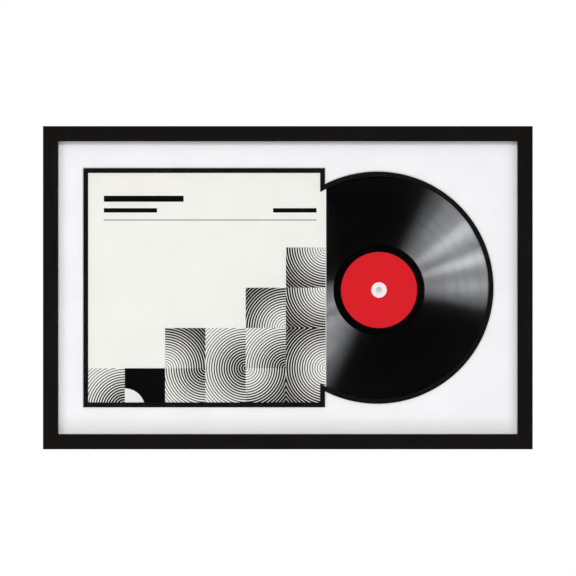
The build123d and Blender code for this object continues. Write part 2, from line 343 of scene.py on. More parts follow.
class Graph:
    """Short calls that lay out one node tree. Most give back the socket that holds the result."""

    def __init__(self, tree: bpy.types.NodeTree) -> None:
        """Keeps the tree that the calls add to."""
        self.tree = tree

    def add(self, kind: str, feeds: dict[str | int, Feed] | None = None, **options: object) -> bpy.types.Node:
        """Adds a node.

        Args:
            kind: the node's type, without the leading ShaderNode.
            feeds: what each input gets, a socket or a plain value.
            options: the node's own settings.

        Returns:
            The node.
        """
        node = self.tree.nodes.new("ShaderNode" + kind)
        for name, value in options.items():
            setattr(node, name, value)
        for key, value in (feeds or {}).items():
            self.feed(node.inputs[key], value)
        return node

    def feed(self, socket: Socket, value: Feed) -> None:
        """Links a socket, or sets it to a plain value."""
        if isinstance(value, bpy.types.NodeSocket):
            self.tree.links.new(value, socket)
        else:
            socket.default_value = value

    def math(self, operation: str, *values: Feed, clamp: bool = False) -> Socket:
        """One Math node."""
        return self.add("Math", dict(enumerate(values)), operation=operation, use_clamp=clamp).outputs[0]

    def vector(self, operation: str, *values: Feed) -> Socket:
        """One Vector Math node; a length or a dot product comes back as a number."""
        node = self.add("VectorMath", dict(enumerate(values)), operation=operation)
        return node.outputs["Value" if operation in ("LENGTH", "DISTANCE", "DOT_PRODUCT") else "Vector"]

    def scaled(self, vector: Socket, scale: Colour) -> Socket:
        """A vector times a scale along each axis."""
        return self.vector("MULTIPLY", vector, scale)

    def blend(self, share: Feed, low: Feed, high: Feed) -> Socket:
        """A colour between two, by a share."""
        colours = {key: (*v, 1.0) if isinstance(v, tuple) else v for key, v in ((6, low), (7, high))}
        return self.add("Mix", {0: share, **colours}, data_type="RGBA").outputs[2]

    def mixed(self, share: Feed, low: Feed, high: Feed) -> Socket:
        """A number between two, by a share."""
        return self.add("Mix", {0: share, 2: low, 3: high}, data_type="FLOAT").outputs[0]

    def spread(self, value: Feed, low: float, high: float, first: float = 0.0, last: float = 1.0) -> Socket:
        """Maps low..high to first..last with soft ends, and holds what lies beyond."""
        feeds = {0: value, 1: low, 2: high, 3: first, 4: last}
        return self.add("MapRange", feeds, interpolation_type="SMOOTHSTEP").outputs[0]

    def noise(self, place: Feed, scale: Feed, detail: float = 2.0, roughness: float = 0.5) -> Socket:
        """Noise from 0 to 1 over a place, with scale in turns per metre."""
        feeds = {"Vector": place, "Scale": scale, "Detail": detail, "Roughness": roughness}
        return self.add("TexNoise", feeds).outputs[0]

    def cloud(
        self, place: Feed, scale: float, detail: float = 2.0, first: float = 0.0, last: float = 1.0
    ) -> Socket:
        """Noise with its contrast raised, from first to last."""
        return self.spread(self.noise(place, scale, detail), CLOUD_FROM, CLOUD_TO, first, last)

    def place(self) -> Socket:
        """The point on the piece, in metres."""
        return self.add("TexCoord").outputs["Object"]

    def arm(self, centre: Colour) -> Socket:
        """The arm from an axis along Y through a centre to the point on the piece."""
        return self.scaled(self.vector("SUBTRACT", self.place(), centre), (1.0, 0.0, 1.0))

    def mark(self, name: str) -> Socket:
        """A named value that the piece's mesh carries."""
        return self.add("Attribute", attribute_name=name).outputs["Fac"]

    def axes(self, vector: Socket) -> tuple[Socket, Socket, Socket]:
        """The x, y and z of a vector."""
        parts = self.add("SeparateXYZ", {0: vector}).outputs
        return parts[0], parts[1], parts[2]

    def joined(self, x: Feed, y: Feed, z: Feed) -> Socket:
        """A vector of three numbers."""
        return self.add("CombineXYZ", {0: x, 1: y, 2: z}).outputs[0]

    def bumped(self, height: Socket, depth: float) -> Socket:
        """The normal of a surface whose height of 0 to 1 stands for a depth in metres."""
        return self.add("Bump", {"Height": height, "Strength": 1.0, "Distance": depth}).outputs[0]

    def dress(self, shader: bpy.types.Node, **feeds: Feed) -> None:
        """Feeds a shader's inputs, named with a low line where the socket has a space."""
        for name, value in feeds.items():
            self.feed(shader.inputs[name.replace("_", " ")], value)

    def show(self, share: Feed, first: bpy.types.Node, second: bpy.types.Node) -> None:
        """Makes the material show a mix of two shaders, by the second one's share."""
        mix = self.add("MixShader", {0: share, 1: first.outputs[0], 2: second.outputs[0]})
        self.feed(self.tree.nodes["Material Output"].inputs["Surface"], mix.outputs[0])


class Effect(ABC):
    """A shader node group with named inputs and outputs, built once and placed in many materials."""

    title: str
    inputs: dict[str, tuple[str, float | None]]
    outputs: tuple[str, ...]

    def place(self, graph: Graph, **feeds: Feed) -> dict[str, Socket]:
        """Places the group in a material.

        Args:
            graph: the material's tree.
            feeds: what each named input gets.

        Returns:
            The group's outputs by name.
        """
        node = graph.add("Group", node_tree=self._tree())
        for name, value in feeds.items():
            graph.feed(node.inputs[name], value)
        return {name: node.outputs[name] for name in self.outputs}

    def _tree(self) -> bpy.types.NodeTree:
        """Makes the group, or gives back the one made before.

        Returns:
            The group's tree.
        """
        tree = bpy.data.node_groups.get(self.title)
        if tree is None:
            tree = bpy.data.node_groups.new(self.title, "ShaderNodeTree")
            for name, (kind, default) in self.inputs.items():
                socket = tree.interface.new_socket(name, in_out="INPUT", socket_type=kind)
                if default is not None:
                    socket.default_value = default
            for name in self.outputs:
                tree.interface.new_socket(name, in_out="OUTPUT", socket_type="NodeSocketFloat")
            graph = Graph(tree)
            given = tree.nodes.new("NodeGroupInput").outputs
            results = self.build(graph, {name: given[name] for name in self.inputs})
            out = tree.nodes.new("NodeGroupOutput").inputs
            for name, socket in results.items():
                graph.feed(out[name], socket)
        return tree

    @abstractmethod
    def build(self, graph: Graph, given: dict[str, Socket]) -> dict[str, Socket]:
        """Lays out the group's nodes and names its results."""


class Grain(Effect):
    """Fine grain: two sizes of noise over a place that the material has already stretched."""

    title = "fine_grain"
    inputs = {
        "Place": ("NodeSocketVector", None),
        "Fineness": ("NodeSocketFloat", 1000.0),
        "Coarse": ("NodeSocketFloat", 0.3),
    }
    outputs = ("Height", "Tone")
    coarse_scale = 0.13
    tone_range = (0.25, 0.75)

    def build(self, graph: Graph, given: dict[str, Socket]) -> dict[str, Socket]:
        """Height mixes fine and coarse noise; Tone is the coarse noise with more contrast."""
        fine = graph.noise(given["Place"], given["Fineness"], detail=3.0)
        coarse = graph.noise(given["Place"], graph.math("MULTIPLY", given["Fineness"], self.coarse_scale))
        height = graph.mixed(given["Coarse"], fine, coarse)
        return {"Height": height, "Tone": graph.spread(coarse, *self.tone_range)}


class EdgeWear(Effect):
    """Wear along edges: an edge mark broken up by noise, so that it comes and goes."""

    title = "edge_wear"
    inputs = {
        "Edge": ("NodeSocketFloat", 0.0),
        "Place": ("NodeSocketVector", None),
        "Amount": ("NodeSocketFloat", 0.5),
    }
    outputs = ("Mask",)
    slow_scale = 30.0
    fast_scale = 900.0
    bar = 1.35
    softness = (-0.1, 0.25)

    def build(self, graph: Graph, given: dict[str, Socket]) -> dict[str, Socket]:
        """The mark times the sum of a slow and a fast noise, above a bar that sinks with the amount."""
        slow = graph.noise(given["Place"], self.slow_scale)
        fast = graph.noise(given["Place"], self.fast_scale, detail=3.0)
        broken = graph.math("MULTIPLY", given["Edge"], graph.math("ADD", slow, fast))
        over = graph.math("SUBTRACT", broken, graph.math("SUBTRACT", self.bar, given["Amount"]))
        return {"Mask": graph.spread(over, *self.softness)}


class Specks(Effect):
    """Small scattered specks, such as dust or fibre ends."""

    title = "specks"
    inputs = {
        "Place": ("NodeSocketVector", None),
        "Fineness": ("NodeSocketFloat", 400.0),
        "Share": ("NodeSocketFloat", 0.1),
    }
    outputs = ("Mask",)
    dot_range = (0.35, 0.15)

    def build(self, graph: Graph, given: dict[str, Socket]) -> dict[str, Socket]:
        """A dot at some cells' middles: the cell's own random number picks the cells."""
        cells = graph.add("TexVoronoi", {"Vector": given["Place"], "Scale": given["Fineness"]})
        chosen = graph.math("LESS_THAN", graph.axes(cells.outputs["Color"])[0], given["Share"])
        dot = graph.spread(cells.outputs["Distance"], *self.dot_range)
        return {"Mask": graph.math("MULTIPLY", chosen, dot)}


GRAIN, WEAR, SPECKS = Grain(), EdgeWear(), Specks()


# Finishes


@dataclass(frozen=True)
class Finish(ABC):
    """One surface finish: its shader's plain values here, and what varies them in dress()."""

    title: str
    colour: Colour
    roughness: float = 0.5
    metallic: float = 0.0
    specular: float = 0.5
    coat: float = 0.0
    coat_roughness: float = 0.1
    # The darkest and the palest tone, as factors of the colour
    tone_range: tuple = (0.88, 1.12)

    def material(self) -> bpy.types.Material:
        """Makes the material, or gives back the one made before.

        Returns:
            The material, ready to go into a slot.
        """
        made = bpy.data.materials.get(self.title)
        if made is None:
            made = bpy.data.materials.new(self.title)
            made.use_nodes = True
            made.diffuse_color = (*self.colour, 1.0)
            shader = made.node_tree.nodes["Principled BSDF"]
            graph = Graph(made.node_tree)
            graph.dress(shader, Base_Color=(*self.colour, 1.0), Roughness=self.roughness)
            graph.dress(shader, Metallic=self.metallic, Specular_IOR_Level=self.specular)
            graph.dress(shader, Coat_Weight=self.coat, Coat_Roughness=self.coat_roughness)
            self.dress(graph, shader)
        return made

    def shade(self, factor: float) -> Colour:
        """The finish's colour times a factor."""
        return tuple(part * factor for part in self.colour)

    def toned(self, graph: Graph, share: Socket) -> Socket:
        """The finish's colour from its darkest to its palest tone, by a share."""
        return graph.blend(share, *(self.shade(factor) for factor in self.tone_range))

    @abstractmethod
    def dress(self, graph: Graph, shader: bpy.types.Node) -> None:
        """Adds the nodes that vary the finish over the surface."""


@dataclass(frozen=True)
class BlackWrap(Finish):
    """Satin black wrap with a faint pressed wood grain that runs along each rail."""

    tone_range: tuple = (0.9, 1.12)
    grain_depth: float = 0.010 * MM
    # How much shorter the grain's pattern is taken along the rail, which draws it out
    grain_stretch: float = 0.05
    drift: float = 0.06
    wear_amount: float = 0.3
    worn_shade: float = 3.0
    wear_polish: float = 0.1

    def dress(self, graph: Graph, shader: bpy.types.Node) -> None:
        """Grain stretched along the rail, rubbed edges, and a roughness that drifts."""
        place = graph.place()
        drawn_out = graph.math("MULTIPLY", graph.mark("along"), self.grain_stretch)
        along = graph.joined(drawn_out, graph.mark("around"), 0.0)
        grain = GRAIN.place(graph, Place=along, Fineness=1400.0, Coarse=0.5)
        worn = WEAR.place(graph, Edge=graph.mark("edge"), Place=place, Amount=self.wear_amount)["Mask"]
        rough = graph.math("ADD", graph.cloud(place, scale=25.0, last=self.drift), self.roughness)
        polish = graph.math("MULTIPLY", worn, self.wear_polish)
        graph.dress(
            shader,
            Base_Color=graph.blend(worn, self.toned(graph, grain["Tone"]), self.shade(self.worn_shade)),
            Roughness=graph.math("SUBTRACT", rough, polish),
            Normal=graph.bumped(grain["Height"], self.grain_depth),
        )


@dataclass(frozen=True)
class FibreCore(Finish):
    """Sawn or pressed wood fibre: short matted fibres, darker flecks and pale ends."""

    depth: float = 0.05 * MM
    pale_scale: float = 1.7
    dullest: float = 0.95
    # How much of the cloud, the dark flecks and the pale ends shows, and their shade
    cloud_look: tuple = (0.25, 0.84)
    dark_look: tuple = (0.55, 0.4)
    pale_look: tuple = (0.4, 1.6)

    def dress(self, graph: Graph, shader: bpy.types.Node) -> None:
        """Matted grain in the colour and the bump, with dark and pale specks over it."""
        place = graph.place()
        grain = GRAIN.place(graph, Place=place, Fineness=700.0, Coarse=0.45)
        tone = self.toned(graph, grain["Tone"])
        cloud = graph.cloud(place, scale=14.0, detail=4.0)
        dark = SPECKS.place(graph, Place=place, Fineness=500.0, Share=0.10)["Mask"]
        closer = graph.scaled(place, (self.pale_scale,) * 3)
        pale = SPECKS.place(graph, Place=closer, Fineness=420.0, Share=0.08)["Mask"]
        looks = self.cloud_look, self.dark_look, self.pale_look
        for mask, (strength, factor) in zip((cloud, dark, pale), looks):
            tone = graph.blend(graph.math("MULTIPLY", mask, strength), tone, self.shade(factor))
        graph.dress(
            shader,
            Base_Color=tone,
            Roughness=graph.spread(grain["Tone"], 0.0, 1.0, self.roughness, self.dullest),
            Normal=graph.bumped(grain["Height"], self.depth),
        )


@dataclass(frozen=True)
class Board(Finish):
    """Smooth mat board or card: a paper tooth, a very faint cloud and a few pale or dark fibres."""

    tone_range: tuple = (0.985, 1.015)
    tooth: float = 0.012 * MM
    fibre: float = 0.04
    fibre_colour: Colour = (0.30, 0.28, 0.26)
    # Fibres are drawn out upwards
    fibre_stretch: Colour = (1.0, 1.0, 0.35)
    gloss_drift: float = 0.05

    def dress(self, graph: Graph, shader: bpy.types.Node) -> None:
        """Tooth in the bump, cloud and fibres in the colour."""
        place = graph.place()
        grain = GRAIN.place(graph, Place=place, Fineness=2600.0, Coarse=0.35)
        tone = self.toned(graph, graph.cloud(place, scale=18.0, detail=3.0))
        drawn_out = graph.scaled(place, self.fibre_stretch)
        fibres = SPECKS.place(graph, Place=drawn_out, Fineness=900.0, Share=0.05)["Mask"]
        smooth = self.roughness - self.gloss_drift
        graph.dress(
            shader,
            Base_Color=graph.blend(graph.math("MULTIPLY", fibres, self.fibre), tone, self.fibre_colour),
            Roughness=graph.spread(grain["Tone"], 0.0, 1.0, smooth, self.roughness),
            Normal=graph.bumped(grain["Height"], self.tooth),
        )


@dataclass(frozen=True)
class ClearGlazing(Finish):
    """Clear low-reflection glazing: what is behind it, plus a share of mirror that grows at a slant."""

    mirror_share: float = 0.35
    index: float = 1.5
    film_range: tuple = (0.35, 0.75)
    film_roughness: float = 0.035

    def dress(self, graph: Graph, shader: bpy.types.Node) -> None:
        """Swaps the shader for a Fresnel mix of see-through and mirror, with a faint film of dust."""
        haze = graph.noise(graph.place(), scale=9.0, detail=4.0)
        film = graph.spread(haze, *self.film_range, 0.0, self.film_roughness)
        clear = graph.add("BsdfTransparent", {"Color": (*self.colour, 1.0)})
        mirror = graph.add("BsdfGlossy", {"Color": (1.0, 1.0, 1.0, 1.0), "Roughness": film})
        fresnel = graph.add("Fresnel", {"IOR": self.index})
        graph.show(graph.math("MULTIPLY", fresnel.outputs[0], self.mirror_share), clear, mirror)
        graph.tree.nodes.remove(shader)


@dataclass(frozen=True)
class PrintedCover(Finish):
    """The sleeve's printed face: cream ground, a stair of ruled tiles, two bars and a thin rule."""

    tone_range: tuple = (0.99, 1.01)
    ink: Colour = (0.004, 0.004, 0.005)
    bare: Colour = (0.86, 0.86, 0.85)
    bare_roughness: float = 0.75
    left: float = 0.0
    low: float = 0.0
    size: float = 0.3143
    tiles_across: int = 6
    lines_per_tile: float = 16.0
    # Near a tile's corner and far from it, the share of a line's pitch that is ink
    growing_shares: tuple = (0.22, 0.86)
    shrinking_shares: tuple = (0.80, 0.24)
    longest_reach: float = 1.35
    disc_edge: tuple = (0.505, 0.495)
    solid_share: float = 0.24
    random_layer: float = 3.0
    stair_slope: float = 0.6
    bare_edge: float = 0.8 * MM
    print_softness: float = 0.06
    ink_height: float = 0.003 * MM
    # Bars that stand in a heading's place: middle x, middle z, half width and half height, as
    # shares of the sleeve from its lower left corner
    bar_shares: tuple = (
        (0.245, 0.868, 0.165, 0.0125),
        (0.190, 0.820, 0.110, 0.0090),
        (0.520, 0.780, 0.440, 0.0016),
        (0.870, 0.820, 0.090, 0.0090),
    )

    def _tiles(self, graph: Graph, u: Socket, v: Socket) -> Socket:
        """Ink in the stair of tiles.

        In each tile, lines run as quarter circles about one of its corners: with d the distance
        from that corner in tiles, ink lies where the saw of lines x d is nearer a line's middle
        than half its width, which grows or shrinks with d. A random number picks the corner and
        makes some tiles solid with one light quarter disc.

        Args:
            graph: the material's tree.
            u: the place across the sleeve, in tiles.
            v: the place up the sleeve, in tiles.

        Returns:
            1 where there is ink.
        """
        column, row = graph.math("FLOOR", u), graph.math("FLOOR", v)
        cell = graph.joined(column, row, self.random_layer)
        random = graph.add("TexWhiteNoise", {"Vector": cell}, noise_dimensions="3D").outputs
        flips = [graph.math("GREATER_THAN", part, 0.5) for part in graph.axes(random["Color"])]
        arm = [
            graph.math("ABSOLUTE", graph.math("SUBTRACT", graph.math("FRACT", along), flip))
            for along, flip in zip((u, v), flips)
        ]
        reach = graph.vector("LENGTH", graph.joined(*arm, 0.0))
        saw = graph.math("FRACT", graph.math("MULTIPLY", reach, self.lines_per_tile))
        wave = graph.math("MULTIPLY", graph.math("ABSOLUTE", graph.math("SUBTRACT", saw, 0.5)), 2.0)
        grows = graph.spread(reach, 0.0, self.longest_reach, *self.growing_shares)
        shrinks = graph.spread(reach, 0.0, self.longest_reach, *self.shrinking_shares)
        wide = graph.mixed(flips[2], grows, shrinks)
        lines = graph.spread(graph.math("SUBTRACT", wave, wide), self.print_softness, -self.print_softness)
        solid = graph.math("SUBTRACT", 1.0, graph.spread(reach, *self.disc_edge))
        ink = graph.mixed(graph.math("LESS_THAN", random["Value"], self.solid_share), lines, solid)
        stair = graph.math("ADD", graph.math("FLOOR", graph.math("MULTIPLY", column, self.stair_slope)), 1.0)
        return graph.math("MULTIPLY", ink, graph.math("LESS_THAN", v, stair))

    def _bars(self, graph: Graph, u: Socket, v: Socket) -> Socket:
        """Ink in the plain bars: where both distances from a bar's middle are under its halves.

        Args:
            graph: the material's tree.
            u: the place across the sleeve, in tiles.
            v: the place up the sleeve, in tiles.

        Returns:
            1 where there is ink.
        """
        total: Feed = 0.0
        for shares in self.bar_shares:
            x, z, half_x, half_z = (share * self.tiles_across for share in shares)
            across = graph.math("ABSOLUTE", graph.math("SUBTRACT", u, x))
            upright = graph.math("ABSOLUTE", graph.math("SUBTRACT", v, z))
            inside = graph.math("LESS_THAN", across, half_x), graph.math("LESS_THAN", upright, half_z)
            total = graph.math("MAXIMUM", total, graph.math("MULTIPLY", *inside))
        return total

    def dress(self, graph: Graph, shader: bpy.types.Node) -> None:
        """Prints the design on the cream ground and leaves the right edge bare."""
        place = graph.place()
        x, _, z = graph.axes(place)
        tile = self.size / self.tiles_across
        u = graph.math("DIVIDE", graph.math("SUBTRACT", x, self.left), tile)
        v = graph.math("DIVIDE", graph.math("SUBTRACT", z, self.low), tile)
        ink = graph.math("MAXIMUM", self._tiles(graph, u, v), self._bars(graph, u, v))
        ground = self.toned(graph, graph.cloud(place, scale=22.0, detail=3.0))
        grain = GRAIN.place(graph, Place=place, Fineness=3000.0, Coarse=0.3)
        edge = graph.math("GREATER_THAN", x, self.left + self.size - self.bare_edge)
        worn = WEAR.place(graph, Edge=graph.mark("edge"), Place=place, Amount=0.25)["Mask"]
        bare = graph.math("MAXIMUM", edge, worn)
        graph.dress(
            shader,
            Base_Color=graph.blend(bare, graph.blend(ink, ground, self.ink), self.bare),
            Roughness=graph.spread(bare, 0.0, 1.0, self.roughness, self.bare_roughness),
            Normal=graph.bumped(grain["Height"], self.ink_height),
        )


@dataclass(frozen=True)
class PlainVinyl(Finish):
    """Black vinyl where it has no grooves: glossy, with faint turning lines and a little haze."""

    tone_range: tuple = (0.8, 1.2)
    centre: Colour = (0.0, 0.0, 0.0)
    line_depth: float = 0.004 * MM
    haze: float = 0.02

    def dress(self, graph: Graph, shader: bpy.types.Node) -> None:
        """Turning lines in the bump and a haze in the roughness."""
        radius = graph.vector("LENGTH", graph.arm(self.centre))
        lines = graph.noise(graph.joined(radius, 0.0, 0.0), scale=900.0, detail=3.0)
        clearer, duller = self.roughness - self.haze, self.roughness + self.haze
        graph.dress(
            shader,
            Base_Color=self.toned(graph, lines),
            Roughness=graph.cloud(graph.place(), scale=60.0, detail=3.0, first=clearer, last=duller),
            Normal=graph.bumped(lines, self.line_depth),
        )


@dataclass(frozen=True)
class GroovedVinyl(Finish):
    """Black vinyl whose groove walls send light across the radius, with fine turning lines.

    The walls lean both ways, so two shaders of the same values are mixed: one's normal leans to
    the hub and the other's to the rim. Lamps shine in it from a slant, and not as in a mirror.
    """

    tone_range: tuple = (0.7, 1.3)
    centre: Colour = (0.0, 0.0, 0.0)
    anisotropy: float = 1.0
    wall_slope: float = 0.54
    band_depth: float = 0.10 * MM
    # The turning lines' noises beside the finest one: scale and strength
    bands: tuple = ((290.0, 1.8), (95.0, 2.0))
    gap_roughness: float = 0.44
    inner_roughness: float = 0.38
    inner_radius: float = 52.0 * MM
    outer_radius: float = 112.0 * MM

    def dress(self, graph: Graph, shader: bpy.types.Node) -> None:
        """Turns both shaders' grain along the radius and varies it with the distance from the hub."""
        arm = graph.arm(self.centre)
        radius = graph.vector("LENGTH", arm)
        groove = graph.mark("groove")
        across = graph.joined(radius, 0.0, 0.0)
        fine = graph.noise(across, scale=620.0, detail=4.0, roughness=0.65)
        height = fine
        for scale, strength in self.bands:
            height = graph.math("ADD", height, graph.math("MULTIPLY", graph.noise(across, scale), strength))
        reach, values = (self.inner_radius, self.outer_radius), (self.inner_roughness, self.roughness)
        rough = graph.mixed(groove, self.gap_roughness, graph.spread(radius, *reach, *values))
        tone = self.toned(graph, fine)
        outward = graph.vector("NORMALIZE", arm)
        level = graph.bumped(graph.math("MULTIPLY", height, groove), self.band_depth)
        lean = graph.vector("MULTIPLY", outward, graph.joined(groove, groove, groove))
        other = graph.add("BsdfPrincipled")
        for wall, slope in ((shader, self.wall_slope), (other, -self.wall_slope)):
            normal = graph.vector("NORMALIZE", graph.vector("ADD", level, graph.scaled(lean, (slope,) * 3)))
            graph.dress(wall, Specular_IOR_Level=self.specular, Anisotropic=self.anisotropy)
            graph.dress(wall, Normal=normal, Tangent=outward, Roughness=rough, Base_Color=tone)
        graph.show(0.5, shader, other)


@dataclass(frozen=True)
class LabelPaper(Finish):
    """A pressed paper label: red print with a plain white middle."""

    tone_range: tuple = (0.97, 1.03)
    centre: Colour = (0.0, 0.0, 0.0)
    middle_radius: float = 10.0 * MM
    middle: Colour = (0.97, 0.97, 0.97)
    print_edge: float = 0.05 * MM
    gloss_drift: float = 0.06
    tooth: float = 0.01 * MM

    def dress(self, graph: Graph, shader: bpy.types.Node) -> None:
        """White inside the middle's radius, red outside, with paper grain."""
        radius = graph.vector("LENGTH", graph.arm(self.centre))
        grain = GRAIN.place(graph, Place=graph.place(), Fineness=2400.0, Coarse=0.4)
        start, end = self.middle_radius - self.print_edge, self.middle_radius + self.print_edge
        red = self.toned(graph, grain["Tone"])
        smooth = self.roughness - self.gloss_drift
        graph.dress(
            shader,
            Base_Color=graph.blend(graph.spread(radius, start, end), self.middle, red),
            Roughness=graph.spread(grain["Tone"], 0.0, 1.0, smooth, self.roughness),
            Normal=graph.bumped(grain["Height"], self.tooth),
        )


@dataclass(frozen=True)
class PlatedSteel(Finish):
    """Zinc or brass plated steel: rolling lines one way, a mottled plating and rubbed edges."""

    metallic: float = 1.0
    tone_range: tuple = (0.88, 1.08)
    worn_shade: float = 1.3
    stretch: Colour = (1.0, 1.0, 1.0)
    depth: float = 0.002 * MM
    # How far the lines take the roughness down and up, and how far wear takes it down
    line_drift: tuple = (0.07, 0.08)
    wear_polish: float = 0.12

    def dress(self, graph: Graph, shader: bpy.types.Node) -> None:
        """Rolling lines in roughness and bump, mottling in the colour, brighter worn edges."""
        place = graph.place()
        lines = GRAIN.place(graph, Place=graph.scaled(place, self.stretch), Fineness=2000.0, Coarse=0.4)
        worn = WEAR.place(graph, Edge=graph.mark("edge"), Place=place, Amount=0.5)["Mask"]
        tone = self.toned(graph, graph.cloud(place, scale=420.0, detail=4.0))
        smooth, dull = self.roughness - self.line_drift[0], self.roughness + self.line_drift[1]
        rough = graph.spread(lines["Tone"], 0.0, 1.0, smooth, dull)
        graph.dress(
            shader,
            Base_Color=graph.blend(worn, tone, self.shade(self.worn_shade)),
            Roughness=graph.math("SUBTRACT", rough, graph.math("MULTIPLY", worn, self.wear_polish)),
            Normal=graph.bumped(lines["Height"], self.depth),
        )


@dataclass(frozen=True)
class SoftRubber(Finish):
    """Black rubber with a matt moulded skin and a few specks of dust."""

    tone_range: tuple = (0.8, 1.3)
    dust_colour: Colour = (0.2, 0.19, 0.18)
    dust_strength: float = 0.3
    pebble_depth: float = 0.02 * MM

    def dress(self, graph: Graph, shader: bpy.types.Node) -> None:
        """A pebbled bump, and specks of paler dust in the colour."""
        place = graph.place()
        grain = GRAIN.place(graph, Place=place, Fineness=3500.0, Coarse=0.2)
        dust = SPECKS.place(graph, Place=place, Fineness=1500.0, Share=0.12)["Mask"]
        tone = self.toned(graph, grain["Tone"])
        dusty = graph.blend(graph.math("MULTIPLY", dust, self.dust_strength), tone, self.dust_colour)
        graph.dress(shader, Base_Color=dusty, Normal=graph.bumped(grain["Height"], self.pebble_depth))


@dataclass(frozen=True)
class PaleFloor(Finish):
    """The studio floor: pale, fading out before its rim, and see-through from below."""

    solid_radius: float = 0.9
    rim_radius: float = 2.1

    def dress(self, graph: Graph, shader: bpy.types.Node) -> None:
        """A plain pale surface that turns see-through from the solid radius to the rim.

        The floor's faces are turned away from the frame, so their back is the upper side.
        """
        radius = graph.vector("LENGTH", graph.scaled(graph.place(), (1.0, 1.0, 0.0)))
        fade = graph.spread(radius, self.solid_radius, self.rim_radius)
        below = graph.math("SUBTRACT", 1.0, graph.add("NewGeometry").outputs["Backfacing"])
        graph.show(graph.math("MAXIMUM", fade, below), shader, graph.add("BsdfTransparent"))


def placed(surface: Surface, finishes: list[Finish]) -> bpy.types.Object:
    """Makes an object from a surface, at the origin, and gives it its finishes.

    Args:
        surface: the piece's points and faces.
        finishes: the finishes that the surface's paint numbers count through.

    Returns:
        The object, linked into the scene.
    """
    mesh = surface.mesh()
    for finish in finishes:
        mesh.materials.append(finish.material())
    piece = bpy.data.objects.new(surface.name, mesh)
    bpy.context.scene.collection.objects.link(piece)
    return piece


def finished(
    surface: Surface, finishes: list[Finish], slot: str, *nodes: str, body: str = ROOT
) -> bpy.types.Object:
    """Makes a piece from a surface and lets it ride on its body in the stead of CAD nodes.

    Args:
        surface: the piece's points and faces.
        finishes: the finishes that the surface's paint numbers count through.
        slot: a material slot named in the record; not used.
        nodes: the CAD nodes that the piece stands for.
        body: the CAD body that it rides on.

    Returns:
        The piece.
    """
    piece = placed(surface, finishes)
    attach(piece, body)
    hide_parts(*nodes)
    faces = len(piece.data.polygons)
    log.info("%s: %d faces, rides on %s, stands for %s", surface.name, faces, body, ", ".join(nodes))
    return piece


# Sub-assemblies


